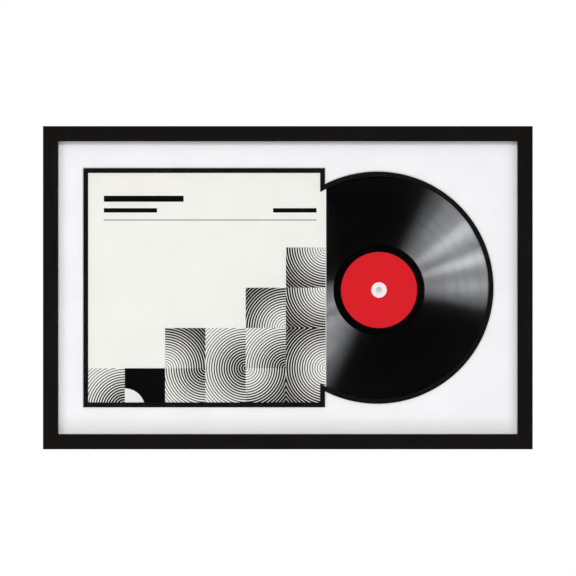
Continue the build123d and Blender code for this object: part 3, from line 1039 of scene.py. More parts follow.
@dataclass
class Moulding:
    """The four mitred rails: flat black faces, eased edges, and a rabbet that holds the sheets."""

    width: float = 19.6 * MM
    rabbet: float = 6.0 * MM
    outer_round: float = 0.9 * MM
    inner_round: float = 0.7 * MM
    back_round: float = 0.5 * MM
    corner_round: float = 0.6 * MM
    wrap_return: float = 3.0 * MM
    seam_depth: float = 0.14 * MM
    seam_offsets: tuple = (0.0, 0.12 * MM, 0.28 * MM, 0.45 * MM, 0.7 * MM)
    point_spacing: float = 1.5 * MM
    wear_reach: float = 1.3 * MM
    arc_steps: int = 6
    length_steps: int = 10
    # Each length of moulding and how many quarter turns it lies from the top, clockwise
    sides: tuple = (("rail_top", 0), ("stile_right", 1), ("rail_bottom", 2), ("stile_left", 3))

    def section(self, front: float, rabbet_floor: float, back: float) -> tuple[Array, Array, Array]:
        """The section, with u from the outer edge inwards and y from front to back.

        Args:
            front: y of the front face.
            rabbet_floor: y of the rabbet's floor, where the glazing rests.
            back: y of the back face.

        Returns:
            The outline, each point's nearness to an eased edge, and each run's paint number.
        """
        land = self.width - self.rabbet
        corners = [
            (0.0, back),
            (0.0, front),
            (self.width, front),
            (self.width, rabbet_floor),
            (land, rabbet_floor),
            (land, back),
            (self.wrap_return, back),
        ]
        radii = [self.back_round, self.outer_round, self.inner_round, 0.0, 0.0, 0.0, 0.0]
        outline = evenly_filled(rounded_outline(corners, radii, self.arc_steps), self.point_spacing)
        eased = np.array(corners[:3])
        distance = np.linalg.norm(outline[:, None] - eased[None], axis=2).min(axis=1)
        middle = (outline + np.roll(outline, -1, axis=0)) / 2
        bare = (middle[:, 1] > rabbet_floor - WELD) & (middle[:, 0] > self.wrap_return)
        return outline, np.clip(1 - distance / self.wear_reach, 0, 1), bare.astype(int)

    def rounded_corner(self, along: Array, out: Array, half: float, outer: float) -> tuple[Array, Array]:
        """Rounds the frame's outer corner: square rings about the corner's centre become circles.

        Args:
            along: how far each point is from the rail's middle, along the rail.
            out: how far it is from the frame's middle, across the rail.
            half: half the rail's outer length.
            outer: how far the rail's outer face is from the frame's middle.

        Returns:
            Both distances, changed where the point lies beyond the corner's centre.
        """
        start_along, start_out = half - self.corner_round, outer - self.corner_round
        dx, dw = np.abs(along) - start_along, out - start_out
        beyond = (dx > 0) & (dw > 0)
        draw = np.where(beyond, np.maximum(dx, dw) / np.maximum(np.hypot(dx, dw), WELD), 1.0)
        x = np.where(beyond, np.sign(along) * (start_along + dx * draw), along)
        return x, np.where(beyond, start_out + dw * draw, out)

    def rail(
        self, name: str, length: float, outer: float, turns: int, depths: tuple[float, float, float]
    ) -> Surface:
        """One rail: the section carried along, each end cut at 45 degrees.

        At a distance e from its mitre, the point at u lies length / 2 - u - e from the middle. At
        the mitre itself the section shrinks into a hair seam.

        Args:
            name: the piece's name.
            length: the rail's outer length.
            outer: how far its outer face is from the frame's middle.
            turns: quarter turns clockwise from the top.
            depths: y of the front, the rabbet's floor and the back.

        Returns:
            The rail's surface.
        """
        outline, edge, paint = self.section(*depths)
        ends = np.array(self.seam_offsets)
        inset = np.where(ends == 0, self.seam_depth, 0.0)
        share = np.linspace(-1, 1, self.length_steps + 1)[1:-1]
        insets = np.concatenate([inset, np.zeros(len(share)), inset[::-1]])[:, None, None]
        section = outline[None] + insets * inward_normals(outline)[None]
        u, y = section[..., 0], section[..., 1]
        reach = length / 2 - u
        near = len(ends)
        along = np.concatenate([
            ends[:, None] - reach[:near],
            share[:, None] * (reach[near:-near] - ends[-1]),
            reach[-near:] - ends[::-1, None],
        ])
        x, w = self.rounded_corner(along, outer - u, length / 2, outer)
        angle = turns * QUARTER_TURN
        cos, sin = round(math.cos(angle)), round(math.sin(angle))
        points = np.stack([x * cos + w * sin, y, w * cos - x * sin], axis=-1)
        run = np.linalg.norm(outline - np.roll(outline, 1, axis=0), axis=1)
        around = np.broadcast_to(np.cumsum(run) + turns, along.shape)
        surface = Surface(name)
        surface.grid(points, paint=paint, wrap=True, edge=edge, along=along, around=around)
        surface.caps(points, paint=1)
        return surface

    def build(self) -> None:
        """Makes the four rails from the CAD rails' boxes."""
        half_width, half_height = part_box("stile_right")[1].x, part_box("rail_top")[1].z
        depths = (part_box("rail_top")[0].y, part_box("glass_pane")[0].y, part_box("rail_top")[1].y)
        wrap = BlackWrap("black_wrap", (0.0088, 0.0070, 0.0064), roughness=0.46, specular=0.35)
        core = FibreCore("wood_fibre_core", (0.34, 0.235, 0.145), roughness=0.85)
        for node, turns in self.sides:
            half_length, outer = (half_width, half_height) if turns % 2 == 0 else (half_height, half_width)
            rail = self.rail("moulding_" + node, 2 * half_length, outer, turns, depths)
            finished(rail, [wrap, core], "moulding", node)


@dataclass
class CornerNails:
    """V nails of sheet steel, two across each mitre, their upper edges at the moulding's back."""

    leg: float = 4.6 * MM
    sheet: float = 0.5 * MM
    height: float = 10.0 * MM
    half_angle: float = math.radians(42)
    place_shares: tuple = (0.30, 0.70)
    bend_share: float = 0.12
    point_share: float = 0.05
    proud: float = 0.03 * MM
    bend_points: int = 5
    side_wear: float = 0.6

    def nail(self, place: Array, inward: Array) -> Array:
        """A V-shaped strip, open towards the frame's middle.

        The strip's middle line runs down one leg, round a small bend and up the other; both faces
        lie half the sheet's thickness to its sides.

        Args:
            place: where the V's point is, on the back face.
            inward: unit vector in the frame's plane towards its middle.

        Returns:
            The strip's rings: along the middle line x four corners x 3.
        """
        side = np.array([inward[2], 0.0, -inward[0]])
        turn = np.linspace(-1, 1, self.bend_points)
        run = self.leg * np.concatenate([[-1.0], self.bend_share * turn, [1.0]])
        depth = np.sqrt(run**2 + (self.point_share * self.leg) ** 2) * math.cos(self.half_angle)
        across = run * math.sin(self.half_angle)
        line = place + depth[:, None] * inward + across[:, None] * side
        slope = np.gradient(line, axis=0)
        slope /= np.linalg.norm(slope, axis=1, keepdims=True)
        normal = np.cross(slope, [0.0, 1.0, 0.0]) * self.sheet / 2
        top, down = np.array([0.0, self.proud, 0.0]), np.array([0.0, -self.height, 0.0])
        near, far = line - normal, line + normal
        return np.stack([near + top, far + top, far + down, near + down], axis=1)

    def build(self, moulding: Moulding) -> None:
        """Drives two nails into each mitre."""
        high = np.array((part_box("stile_right")[1].x, *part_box("rail_top")[1][1:]))
        land = moulding.width - moulding.rabbet
        surface = Surface("corner_v_nails")
        for side_x, side_z, share in product((-1, 1), (-1, 1), self.place_shares):
            inset = share * land
            place = np.array([side_x * (high[0] - inset), high[1], side_z * (high[2] - inset)])
            rings = self.nail(place, np.array([-side_x, 0.0, -side_z]) / math.sqrt(2))
            surface.grid(rings, wrap=True, edge=self.side_wear)
            surface.caps(rings, edge=1.0)
        steel = PlatedSteel("plain_nail_steel", (0.36, 0.36, 0.37), roughness=0.38)
        finished(surface, [steel], "corner_nails", "v_nails")


@dataclass
class WindowMats:
    """The white window mat and the black under-mat, each one opening: a rectangle run into a circle."""

    shift: float = 0.7 * MM
    spacing: float = 225.15 * MM
    height_less: float = 3.3 * MM
    reveal: float = 6.35 * MM
    hub_x: float = 10.0 * MM
    cut_tooth: float = 0.03 * MM
    arc_steps: int = 160

    def outline(self, growth: float) -> Array:
        """The opening's outline, grown all round.

        Straight runs go round the rectangle from one notch to the other, and the arc closes them.

        Args:
            growth: how far the outline lies outside the white mat's opening.

        Returns:
            n x 2 points, x and z; n is the same for every growth.
        """
        sleeve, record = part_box("album_sleeve"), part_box("vinyl_record")
        width = sleeve[1].x - sleeve[0].x
        radius = (record[1].x - record[0].x) / 2
        span = width / 2 + self.spacing + radius
        sleeve_x = self.shift - span / 2 + width / 2
        record_x = sleeve_x + self.spacing
        right, left = sleeve_x + width / 2 + growth, sleeve_x - width / 2 - growth
        top = (width - self.height_less) / 2 + growth
        radius += growth
        notch = math.acos((right - record_x) / radius)
        notch_z = radius * math.sin(notch)
        straight = [(right, notch_z), (right, top), (left, top), (left, -top), (right, -top)]
        angle = np.linspace(-notch, notch, self.arc_steps, endpoint=False)
        arc = np.stack([record_x + radius * np.cos(angle), radius * np.sin(angle)], axis=1)
        return np.concatenate([np.array(straight), arc])

    def border(self, opening: Array, low: Array, high: Array) -> Array:
        """The sheet's outer edge, on rays from a hub through the opening's points.

        The points nearest to the sheet's four corners are moved onto them.

        Args:
            opening: the opening's outline.
            low: the sheet's lowest corner.
            high: the sheet's highest corner.

        Returns:
            One outer point for each point of the opening.
        """
        hub, low, high = np.array([self.hub_x, 0.0]), low[[0, 2]], high[[0, 2]]
        ray = np.where(np.abs(opening - hub) < WELD, WELD, opening - hub)
        reach = np.where(ray > 0, high - hub, low - hub) / ray
        outer = hub + reach.min(axis=1, keepdims=True) * ray
        for corner in product((low[0], high[0]), (low[1], high[1])):
            outer[np.linalg.norm(outer - corner, axis=1).argmin()] = corner
        return outer

    def sheet(self, name: str, node: str, inset: float) -> Surface:
        """A sheet with its opening cut at 45 degrees, wider towards the viewer.

        Args:
            name: the piece's name.
            node: the CAD node that it stands for.
            inset: how far the opening is smaller than the white mat's.

        Returns:
            The sheet's surface, a ring closed both ways.
        """
        low, high = corners_of(node)
        thickness = high[1] - low[1]
        near, far = self.outline(thickness - inset), self.outline(-inset)
        outer = self.border(near, low, high)
        rings = [(outer, high[1]), (outer, low[1]), (near, low[1]), (far, high[1]), (outer, high[1])]
        points = np.stack([np.insert(ring, 1, y, axis=1) for ring, y in rings])
        surface = Surface(name)
        surface.grid(points, paint=np.array([1, 0, 1, 0])[:, None], wrap=True)
        return surface

    def build(self) -> None:
        """Makes both mats, each of a board with a face and a core."""
        cut = self.cut_tooth
        white = Board("white_board", (0.940, 0.938, 0.952), roughness=0.72, specular=0.3)
        white_core = Board("white_board_core", (0.94, 0.94, 0.94), roughness=0.85, specular=0.2, tooth=cut)
        black = Board("black_board", (0.0070, 0.0070, 0.0074), roughness=0.75, specular=0.25, fibre=0.25)
        black_core = Board("black_board_core", (0.010, 0.010, 0.011), roughness=0.9, specular=0.15, tooth=cut)
        window_mat = self.sheet("window_mat", "white_mat", 0.0)
        under_mat = self.sheet("under_mat", "black_mat", self.reveal)
        finished(window_mat, [white, white_core], "white_mat_board", "white_mat")
        finished(under_mat, [black, black_core], "black_mat_board", "black_mat")


@dataclass
class AlbumSleeve:
    """The folded card sleeve: a pocket with a rounded spine on the left and its mouth on the right."""

    card: float = 0.45 * MM
    glue_margin: float = 1.5 * MM
    spine_round: float = 0.5 * MM
    inner_round: float = 0.2 * MM
    point_spacing: float = 4.0 * MM
    wear_reach: float = 1.0 * MM
    cut_tooth: float = 0.03 * MM
    arc_steps: int = 5
    upright_shares: tuple = (0.0, 0.001, 0.003, 0.01, 0.1, 0.3, 0.5, 0.7, 0.9, 0.99, 0.997, 0.999, 1.0)

    def pocket(self, low: Array, high: Array) -> Surface:
        """The card's U-shaped section carried upright, with the two glued edges inside it.

        Args:
            low: the sleeve's lowest corner.
            high: the sleeve's highest corner.

        Returns:
            The sleeve's surface.
        """
        c = self.card
        corners = [
            (high[0], low[1]),
            (low[0], low[1]),
            (low[0], high[1]),
            (high[0], high[1]),
            (high[0], high[1] - c),
            (low[0] + c, high[1] - c),
            (low[0] + c, low[1] + c),
            (high[0], low[1] + c),
        ]
        radii = [0.0, self.spine_round, self.spine_round, 0.0, 0.0, self.inner_round, self.inner_round, 0.0]
        outline = evenly_filled(rounded_outline(corners, radii, self.arc_steps), self.point_spacing)
        x, y = ((outline + np.roll(outline, -1, axis=0)) / 2).T
        printed = (y < low[1] + c / 2) | (y > high[1] - c / 2) | (x < low[0] + c / 2)
        paint = np.where(printed, 0, 1)
        z = low[2] + np.array(self.upright_shares) * (high[2] - low[2])
        points = np.empty((len(z), len(outline), 3))
        points[..., :2], points[..., 2] = outline[None], z[:, None]
        fold = np.minimum(outline[:, 0] - low[0], high[0] - outline[:, 0])
        rim = np.minimum(z - low[2], high[2] - z)
        edge = np.clip(1 - np.minimum(fold[None, :], rim[:, None]) / self.wear_reach, 0, 1)
        surface = Surface("album_sleeve_card")
        surface.grid(points, paint=paint, wrap=True, edge=edge)
        surface.caps(points, paint=1)
        left, right = low[0] + c, high[0] - c
        for start in (low[2], high[2] - self.glue_margin):
            z0, z1 = start + WELD, start + self.glue_margin - WELD
            ring = np.array([(left, 0, z0), (left, 0, z1), (right, 0, z1), (right, 0, z0)])
            strip = np.stack([ring + (0, y, 0) for y in (low[1] + c, high[1] - c)])
            surface.grid(strip, paint=1, wrap=True)
            surface.caps(strip, paint=1)
        return surface

    def build(self) -> None:
        """Makes the sleeve and prints its cover."""
        low, high = corners_of("album_sleeve")
        cover = PrintedCover(
            "printed_cover", (0.968, 0.959, 0.918), roughness=0.42, specular=0.35, coat=0.08,
            left=float(low[0]), low=float(low[2]), size=float(high[0] - low[0]),
        )
        card = Board(
            "cover_card", (0.86, 0.86, 0.84), roughness=0.8, specular=0.2, tooth=self.cut_tooth, fibre=0.15
        )
        finished(self.pocket(low, high), [cover, card], "printed_card", "album_sleeve")


@dataclass
class PressedRecord:
    """The record and its two labels, turned about the spindle's axis."""

    hole_radius: float = 3.62 * MM
    hole_chamfer: float = 0.15 * MM
    label_radius: float = 49.5 * MM
    label_thickness: float = 0.1 * MM
    hub_thickness: float = 1.9 * MM
    web_thickness: float = 1.5 * MM
    seat_step_share: float = 0.7
    hub_ring: float = 2.0 * MM
    hub_flat_share: float = 0.8
    hub_slope: float = 1.6 * MM
    groove_inner: float = 59.4 * MM
    groove_lead: float = 0.1 * MM
    rim_width: float = 3.4 * MM
    rim_plain: float = 1.5 * MM
    rim_slope: float = 1.4 * MM
    rim_round: float = 0.7 * MM
    gap_half_width: float = 0.7 * MM
    gap_depth: float = 0.02 * MM
    gap_place_shares: tuple = (0.095, 0.285, 0.475, 0.62, 0.82)
    # Across half a gap: share of its half width, share of its depth and the groove's mark
    gap_profile_shares: tuple = ((1.0, 0, 1), (0.8, 0.1, 0.72), (0.2, 1, 0.72))
    run_out_radii: tuple = (54.6 * MM, 56.4 * MM, 58.0 * MM)
    run_out_width: float = 0.16 * MM
    # The pressed rings of a label: radius, half width and depth
    label_rings: tuple = ((15.6 * MM, 0.5 * MM, 0.06 * MM), (45.8 * MM, 0.35 * MM, 0.04 * MM))
    # How far a label's edges are eased at the hole and at its rim: inwards and downwards
    hole_ease: tuple = (0.1 * MM, 0.02 * MM)
    label_ease: tuple = (0.06 * MM, 0.03 * MM)
    slope_steps: int = 5
    ring_steps: int = 8
    rim_steps: int = 6
    around_steps: int = 288

    def half_section(self, radius: float, rim_half: float) -> Array:
        """The upper half of the record's section, from the hole to the rim.

        Args:
            radius: the record's radius.
            rim_half: half the rim's thickness.

        Returns:
            n x 3: radius, height above the middle plane, and 1 where there are grooves.
        """
        hub, web = self.hub_thickness / 2, self.web_thickness / 2
        seat = hub - self.label_thickness
        ring_end = self.label_radius + self.hub_ring
        rim_start = radius - self.rim_width
        rows = [
            (self.hole_radius, seat - self.hole_chamfer, 0),
            (self.hole_radius + self.hole_chamfer, seat, 0),
            (self.label_radius, seat, 0),
            (self.label_radius, seat + self.seat_step_share * self.label_thickness, 0),
            (self.label_radius + self.label_thickness, hub, 0),
            (self.label_radius + self.hub_flat_share * self.hub_ring, hub, 0),
        ]
        slope = np.linspace(0, 1, self.slope_steps + 1)
        rows += [(ring_end + s * self.hub_slope, hub - (hub - web) * smooth_step(s), 0) for s in slope]
        for middle in self.run_out_radii:
            half = self.run_out_width / 2
            rows += [(middle - half, web, 0), (middle, web - half, 0), (middle + half, web, 0)]
        rows += [(self.groove_inner - self.groove_lead, web, 0), (self.groove_inner, web, 1)]
        falling = [(-place, depth, mark) for place, depth, mark in self.gap_profile_shares]
        for share in self.gap_place_shares:
            middle = self.groove_inner + share * (rim_start - self.groove_inner)
            rows += [
                (middle + place * self.gap_half_width, web - depth * self.gap_depth, mark)
                for place, depth, mark in (*falling, *self.gap_profile_shares[::-1])
            ]
        groove_outer = rim_start - self.rim_plain
        rows += [(groove_outer, web, 1), (groove_outer + self.groove_lead, web, 0)]
        foot = rim_start - self.rim_slope / 2
        rows += [(foot + s * self.rim_slope, web + (rim_half - web) * smooth_step(s), 0) for s in slope]
        rows += [(r, h, 0) for r, h in quarter_arc(radius, rim_half, self.rim_round, self.rim_steps)]
        return np.array(rows, float)

    def disc(self, centre: Array, radius: float, rim_half: float) -> Surface:
        """The record's body: the half section and its mirror, turned about Y.

        Args:
            centre: the record's middle.
            radius: its radius.
            rim_half: half its rim's thickness.

        Returns:
            The record's surface.
        """
        upper = self.half_section(radius, rim_half)
        lower = upper[::-1] * (1, -1, 1)
        section = np.concatenate([upper, lower, upper[:1]])
        grooved = (section[:-1, 2] > 0) & (section[1:, 2] > 0)
        surface = Surface("record_disc")
        points = turned(section[:, :2], self.around_steps) + centre
        surface.grid(points, paint=np.where(grooved, 0, 1)[:, None], wrap=True, groove=section[:, 2:])
        return surface

    def label(self, name: str, centre: Array, side: int) -> Surface:
        """A label that fills its seat, with pressed rings in its face.

        Args:
            name: the piece's name.
            centre: the record's middle.
            side: -1 for the front and 1 for the back.

        Returns:
            The label's surface.
        """
        top, seat = self.hub_thickness / 2, self.hub_thickness / 2 - self.label_thickness
        hole, rim = self.hole_radius, self.label_radius
        rows = [(hole, seat), (hole, top - self.hole_ease[1]), (hole + self.hole_ease[0], top)]
        wave = np.linspace(-1, 1, self.ring_steps + 1)
        for middle, half, depth in self.label_rings:
            rows += [(middle + s * half, top - depth * (1 + math.cos(math.pi * s)) / 2) for s in wave]
        rows += [(rim - self.label_ease[0], top), (rim, top - self.label_ease[1]), (rim, seat)]
        section = np.array(rows + rows[:1]) * (1, side)
        surface = Surface(name)
        surface.grid(turned(section, self.around_steps) + centre, wrap=True)
        return surface

    def build(self) -> bpy.types.Object:
        """Makes the record and its labels.

        Returns:
            The record, so that its own lamps can find it.
        """
        low, high = corners_of("vinyl_record")
        centre, half = (low + high) / 2, (high - low) / 2
        middle = tuple(centre.tolist())
        grooved = GroovedVinyl(
            "grooved_vinyl", (0.0021, 0.0022, 0.0027), roughness=0.295, specular=0.6, centre=middle
        )
        plain = PlainVinyl(
            "plain_vinyl", (0.0012, 0.0013, 0.0016), roughness=0.17, specular=0.6, centre=middle
        )
        red = LabelPaper("red_label", (0.79, 0.0130, 0.0225), roughness=0.62, specular=0.2, centre=middle)
        disc = self.disc(centre, half[0], half[1])
        record = finished(disc, [grooved, plain], "pressed_vinyl", "vinyl_record")
        for side, sign in (("front", -1), ("back", 1)):
            label = self.label("label_" + side, centre, sign)
            finished(label, [red], "label_paper", "record_label_" + side)
        return record


@dataclass
class TurnButtons:
    """The ten turn buttons, each on its own body, and the pan-head screws that they pivot on."""

    width: float = 10.0 * MM
    reach: float = 21.0 * MM
    thickness: float = 1.0 * MM
    tip_length: float = 3.2 * MM
    tip_rise: float = 0.9 * MM
    bend_ease: float = 0.8 * MM
    hole_radius: float = 1.5 * MM
    edge_round: float = 0.22 * MM
    # How much shorter the steel's rolling lines are taken along the button, which draws them out
    line_stretch: float = 0.06
    shank_radius: float = 1.45 * MM
    shank_length: float = 11.0 * MM
    point_length: float = 2.4 * MM
    head_radius: float = 3.1 * MM
    head_height: float = 1.35 * MM
    head_round: float = 0.9 * MM
    head_lip: float = 0.12 * MM
    slot_length: float = 3.4 * MM
    slot_width: float = 0.8 * MM
    slot_depth: float = 0.7 * MM
    slot_slope: float = 0.22 * MM
    # The recess stays this share of the head's rounding away from the rim
    crown_share: float = 0.2
    # A head is rubbed round a ring on its rounding, and where the recess is deep
    rubbed_share: float = 0.4
    rubbed_width: float = 0.5 * MM
    recess_wear: float = 0.8
    deep_share: float = 0.3
    # How far the first screw's cross is turned, and each next one's beyond it
    first_turn: float = 0.7
    next_turn: float = 2.4
    end_points: int = 22
    side_points: int = 12
    edge_steps: int = 4
    plate_rings: int = 16
    head_rings: int = 22
    head_steps: int = 7
    around_steps: int = 72

    def rise(self, z: Array) -> Array:
        """How far the tip is turned up at z: a ramp whose start is eased by a square root.

        With t = z - bend, the ramp is slope * (t + sqrt(t * t + ease * ease)) / 2.

        Args:
            z: distances from the pivot along the arm.

        Returns:
            The rise at each of them.
        """
        t = z - (self.reach - self.tip_length)
        ramp = (t + np.sqrt(t * t + self.bend_ease**2)) / 2
        top = (self.tip_length + math.hypot(self.tip_length, self.bend_ease)) / 2
        return self.tip_rise * ramp / top

    def plan(self) -> Array:
        """The button's outline: a half circle round the pivot, two straight sides and a round tip.

        Returns:
            n x 2 points: across the arm and along it.
        """
        half = self.width / 2
        turn = np.linspace(0, math.pi, self.end_points)
        far = self.reach - half
        tip = np.stack([half * np.cos(turn), far + half * np.sin(turn)], axis=1)
        heel = np.stack([-half * np.cos(turn), -half * np.sin(turn)], axis=1)
        side = np.linspace(0, 1, self.side_points)[1:-1, None]
        left = np.array([-half, far]) * (1 - side) + np.array([-half, 0.0]) * side
        right = np.array([half, 0.0]) * (1 - side) + np.array([half, far]) * side
        return np.concatenate([tip, left, heel, right])

    def plate(self, name: str, pivot: Array, forward: Array) -> Surface:
        """A pressed plate: rings from the pivot hole to the outline, over the top and back below.

        Args:
            name: the piece's name.
            pivot: the pivot on the moulding's back.
            forward: unit vector from the pivot along the arm.

        Returns:
            The button's surface.
        """
        outline = self.plan()
        hole = outline / np.linalg.norm(outline, axis=1, keepdims=True) * self.hole_radius
        inside = inward_normals(outline)
        turn = np.linspace(0, QUARTER_TURN, self.edge_steps + 1)
        spread = np.linspace(0, 1, self.plate_rings)[:, None, None]
        r = self.edge_round
        face = hole + spread * (outline + r * inside - hole)
        arc = outline + (r * (1 - np.sin(turn)))[:, None, None] * inside
        drop = r * (1 - np.cos(turn))
        rings = np.concatenate([face, arc[1:], arc[::-1], face[::-1][1:], face[:1]])
        level = np.concatenate([
            np.full(len(face), self.thickness),
            self.thickness - drop[1:],
            drop[::-1],
            np.zeros(len(face) - 1),
            [self.thickness],
        ])
        worn = np.concatenate([
            np.zeros(len(face)), np.sin(2 * turn[1:]), np.sin(2 * turn[::-1]), np.zeros(len(face)),
        ])
        x, z = rings[..., 0], rings[..., 1]
        y = level[:, None] + self.rise(z)
        side, outward = np.array([forward[2], 0.0, -forward[0]]), np.array([0.0, 1.0, 0.0])
        points = pivot + x[..., None] * side + y[..., None] * outward + z[..., None] * forward
        surface = Surface(name)
        surface.grid(points, wrap=True, edge=worn[:, None])
        return surface

    def add_screw(self, surface: Surface, seat: Array, turn: float) -> None:
        """A pan-head screw: a turned section whose head has a cross recess.

        The recess is as deep as the nearer of two bars allows: each bar's depth falls off over a
        short slope at its sides and ends.

        Args:
            surface: the surface that takes the screw.
            seat: the middle of the head's underside.
            turn: how far the cross is turned.
        """
        r, h, e = self.head_radius, self.head_height, self.head_round
        rows = [(a, h) for a in np.linspace(0, r - e, self.head_rings)]
        rows += quarter_arc(r, h, e, self.head_steps)[1:] + [(r, self.head_lip), (r - self.head_lip, 0.0)]
        rows += pointed_shank(self.shank_radius, self.shank_length, self.point_length)
        section = np.array(rows)
        points = turned(section, self.around_steps)
        radius, height = section[:, :1], section[:, 1:]
        angle = np.linspace(0, 2 * math.pi, self.around_steps, endpoint=False) - turn
        a, b = np.abs(radius * np.cos(angle)), np.abs(radius * np.sin(angle))
        depth = np.zeros_like(a)
        for long, short in ((a, b), (b, a)):
            gap = np.minimum(self.slot_length / 2 - long, (self.slot_width / 2 - short) * 2)
            depth = np.maximum(depth, self.slot_depth * smooth_step(gap / self.slot_slope + 0.5))
        crown = (height > h - e) & (radius < r - self.crown_share * e)
        points[..., 1] -= np.where(crown, depth, 0.0)
        off_ring = (radius - (r - self.rubbed_share * e)) / self.rubbed_width
        rubbed = np.exp(-(off_ring**2)) * (height > 0)
        deep = depth > self.deep_share * self.slot_depth
        surface.grid(points + seat, wrap=True, edge=np.clip(rubbed + self.recess_wear * deep, 0, 1))

    def build(self, frame: dict) -> None:
        """Makes each joint's button and all the screws.
        """
        zinc, drawn = (0.40, 0.40, 0.41), self.line_stretch
        upright = PlatedSteel("zinc_plated_button", zinc, roughness=0.36, stretch=(1.0, 1.0, drawn))
        across = PlatedSteel("zinc_plated_button_across", zinc, roughness=0.36, stretch=(drawn, 1.0, 1.0))
        plated = PlatedSteel("zinc_plated_screw", (0.46, 0.43, 0.34), roughness=0.28)
        screws = Surface("turn_button_screw_set")
        for number, joint in enumerate(frame["joints"]):
            node, pivot = joint["child"], np.array(joint["pos_m"])
            arm = centre_of(node) - pivot
            arm[1] = 0.0
            forward = np.round(arm / np.linalg.norm(arm))
            plate = self.plate(node + "_plate", pivot, forward)
            finished(plate, [upright if forward[2] else across], "button_steel", node, body=node)
            seat = pivot + (0.0, self.thickness, 0.0)
            self.add_screw(screws, seat, self.first_turn + self.next_turn * number)
        finished(screws, [plated], "screw_steel", "turn_button_screws")


@dataclass
class Hangers:
    """Two pressed sawtooth hangers on the upper rail, each held by two brass-plated nails."""

    sheet: float = 0.8 * MM
    standoff: float = 1.7 * MM
    tab: float = 7.5 * MM
    joggle: float = 1.8 * MM
    tab_round: float = 2.0 * MM
    teeth: int = 13
    tooth_depth: float = 1.7 * MM
    tooth_margin: float = 1.4 * MM
    edge_round: float = 0.15 * MM
    wear_reach: float = 0.5 * MM
    line_stretch: float = 0.05
    shank_radius: float = 0.8 * MM
    shank_length: float = 10.0 * MM
    point_length: float = 1.8 * MM
    head_radius: float = 1.9 * MM
    head_height: float = 0.5 * MM
    # The head's dome: how far out it reaches and how far it falls, then its rim, as shares
    dome_share: float = 0.94
    dome_fall: float = 0.25
    rim_shares: tuple = ((1.0, 0.5), (1.0, 0.2), (0.96, 0.0))
    # Wear on a head: this many times the share of its radius, less the second number
    head_wear: tuple = (1.5, 0.6)
    corner_steps: int = 7
    joggle_steps: int = 8
    face_steps: int = 14
    dome_steps: int = 7
    around_steps: int = 32

    def strip(self, name: str, node: str) -> Surface:
        """A strip whose lower edge is a row of teeth and whose middle stands off the wood.

        Across the strip at x, the section is a flat bar between the lower and the upper edge. The
        lower edge is a zigzag under the middle, both edges are quarter circles at the ends, and the
        height follows a smooth step over each joggle.

        Args:
            name: the piece's name.
            node: the CAD hanger that it stands for.

        Returns:
            The hanger's surface.
        """
        low, high = corners_of(node)
        middle = (low + high) / 2
        half, half_height = (high[0] - low[0]) / 2, (high[2] - low[2]) / 2
        row = half - self.tab - self.joggle - self.tooth_margin
        tooth_x = np.linspace(-row, row, 2 * self.teeth + 1)
        turn = np.linspace(0, QUARTER_TURN, self.corner_steps + 1)
        corner_x = half - self.tab_round + self.tab_round * np.sin(turn)
        joggle_x = half - self.tab - self.joggle * np.linspace(0, 1, self.joggle_steps + 1)
        x = np.unique(np.round(np.concatenate([tooth_x, corner_x, -corner_x, joggle_x, -joggle_x]), 7))
        zigzag = np.interp(x, tooth_x, np.where(np.arange(len(tooth_x)) % 2, self.tooth_depth, 0.0), 0.0, 0.0)
        into = np.clip(np.abs(x) - (half - self.tab_round), 0, self.tab_round)
        round_in = self.tab_round - np.sqrt(np.maximum(self.tab_round**2 - into**2, 0.0))
        z_low, z_high = -half_height + round_in + zigzag, half_height - round_in
        lift = self.standoff * smooth_step((half - self.tab - np.abs(x)) / self.joggle)
        e, t = self.edge_round, self.sheet
        share = np.linspace(0, 1, self.face_steps + 1)[1:-1]
        z = np.concatenate([
            np.stack([z_low + e, z_high - e, z_high, z_high, z_high - e], axis=1),
            z_high[:, None] * (1 - share) + z_low[:, None] * share,
            np.stack([z_low + e, z_low, z_low], axis=1),
        ], axis=1)
        y = np.array([0.0, 0.0, e, t - e, t, *[t] * len(share), t, t - e, e]) + lift[:, None]
        points = np.stack([np.broadcast_to(x[:, None], z.shape), y, z], axis=-1)
        points = points + (middle[0], low[1], middle[2])
        near_edge = np.minimum(z - z_low[:, None], z_high[:, None] - z)
        surface = Surface(name)
        surface.grid(points, wrap=True, edge=np.clip(1 - near_edge / self.wear_reach, 0, 1))
        surface.caps(points, edge=1.0)
        return surface

    def add_nail(self, surface: Surface, seat: Array) -> None:
        """A round nail with a slightly domed head.

        Args:
            surface: the surface that takes the nail.
            seat: the middle of the head's underside.
        """
        r, h = self.head_radius, self.head_height
        share = np.linspace(0, 1, self.dome_steps + 1)
        rows = [(s * self.dome_share * r, h - self.dome_fall * h * s**3) for s in share]
        rows += [(out * r, up * h) for out, up in self.rim_shares]
        rows += pointed_shank(self.shank_radius, self.shank_length, self.point_length)
        section = np.array(rows)
        gain, loss = self.head_wear
        worn = np.clip(section[:, :1] / r * gain - loss, 0, 1) * (section[:, 1:] > 0)
        surface.grid(turned(section, self.around_steps) + seat, wrap=True, edge=worn)

    def build(self) -> None:
        """Makes both hangers and their nails."""
        drawn = (self.line_stretch, 1.0, 1.0)
        zinc = PlatedSteel("zinc_plated_hanger", (0.43, 0.42, 0.40), roughness=0.36, stretch=drawn)
        brass = PlatedSteel("brass_plated_nail", (0.58, 0.42, 0.17), roughness=0.28)
        nails = Surface("hanger_nail_set")
        for node in ("sawtooth_hanger_left", "sawtooth_hanger_right"):
            finished(self.strip(node + "_strip", node), [zinc], "hanger_steel", node)
            low, high = corners_of(node)
            for x in (low[0] + self.tab / 2, high[0] - self.tab / 2):
                self.add_nail(nails, np.array([x, low[1] + self.sheet, (low[2] + high[2]) / 2]))
        finished(nails, [brass], "nail_brass", "hanger_nails")


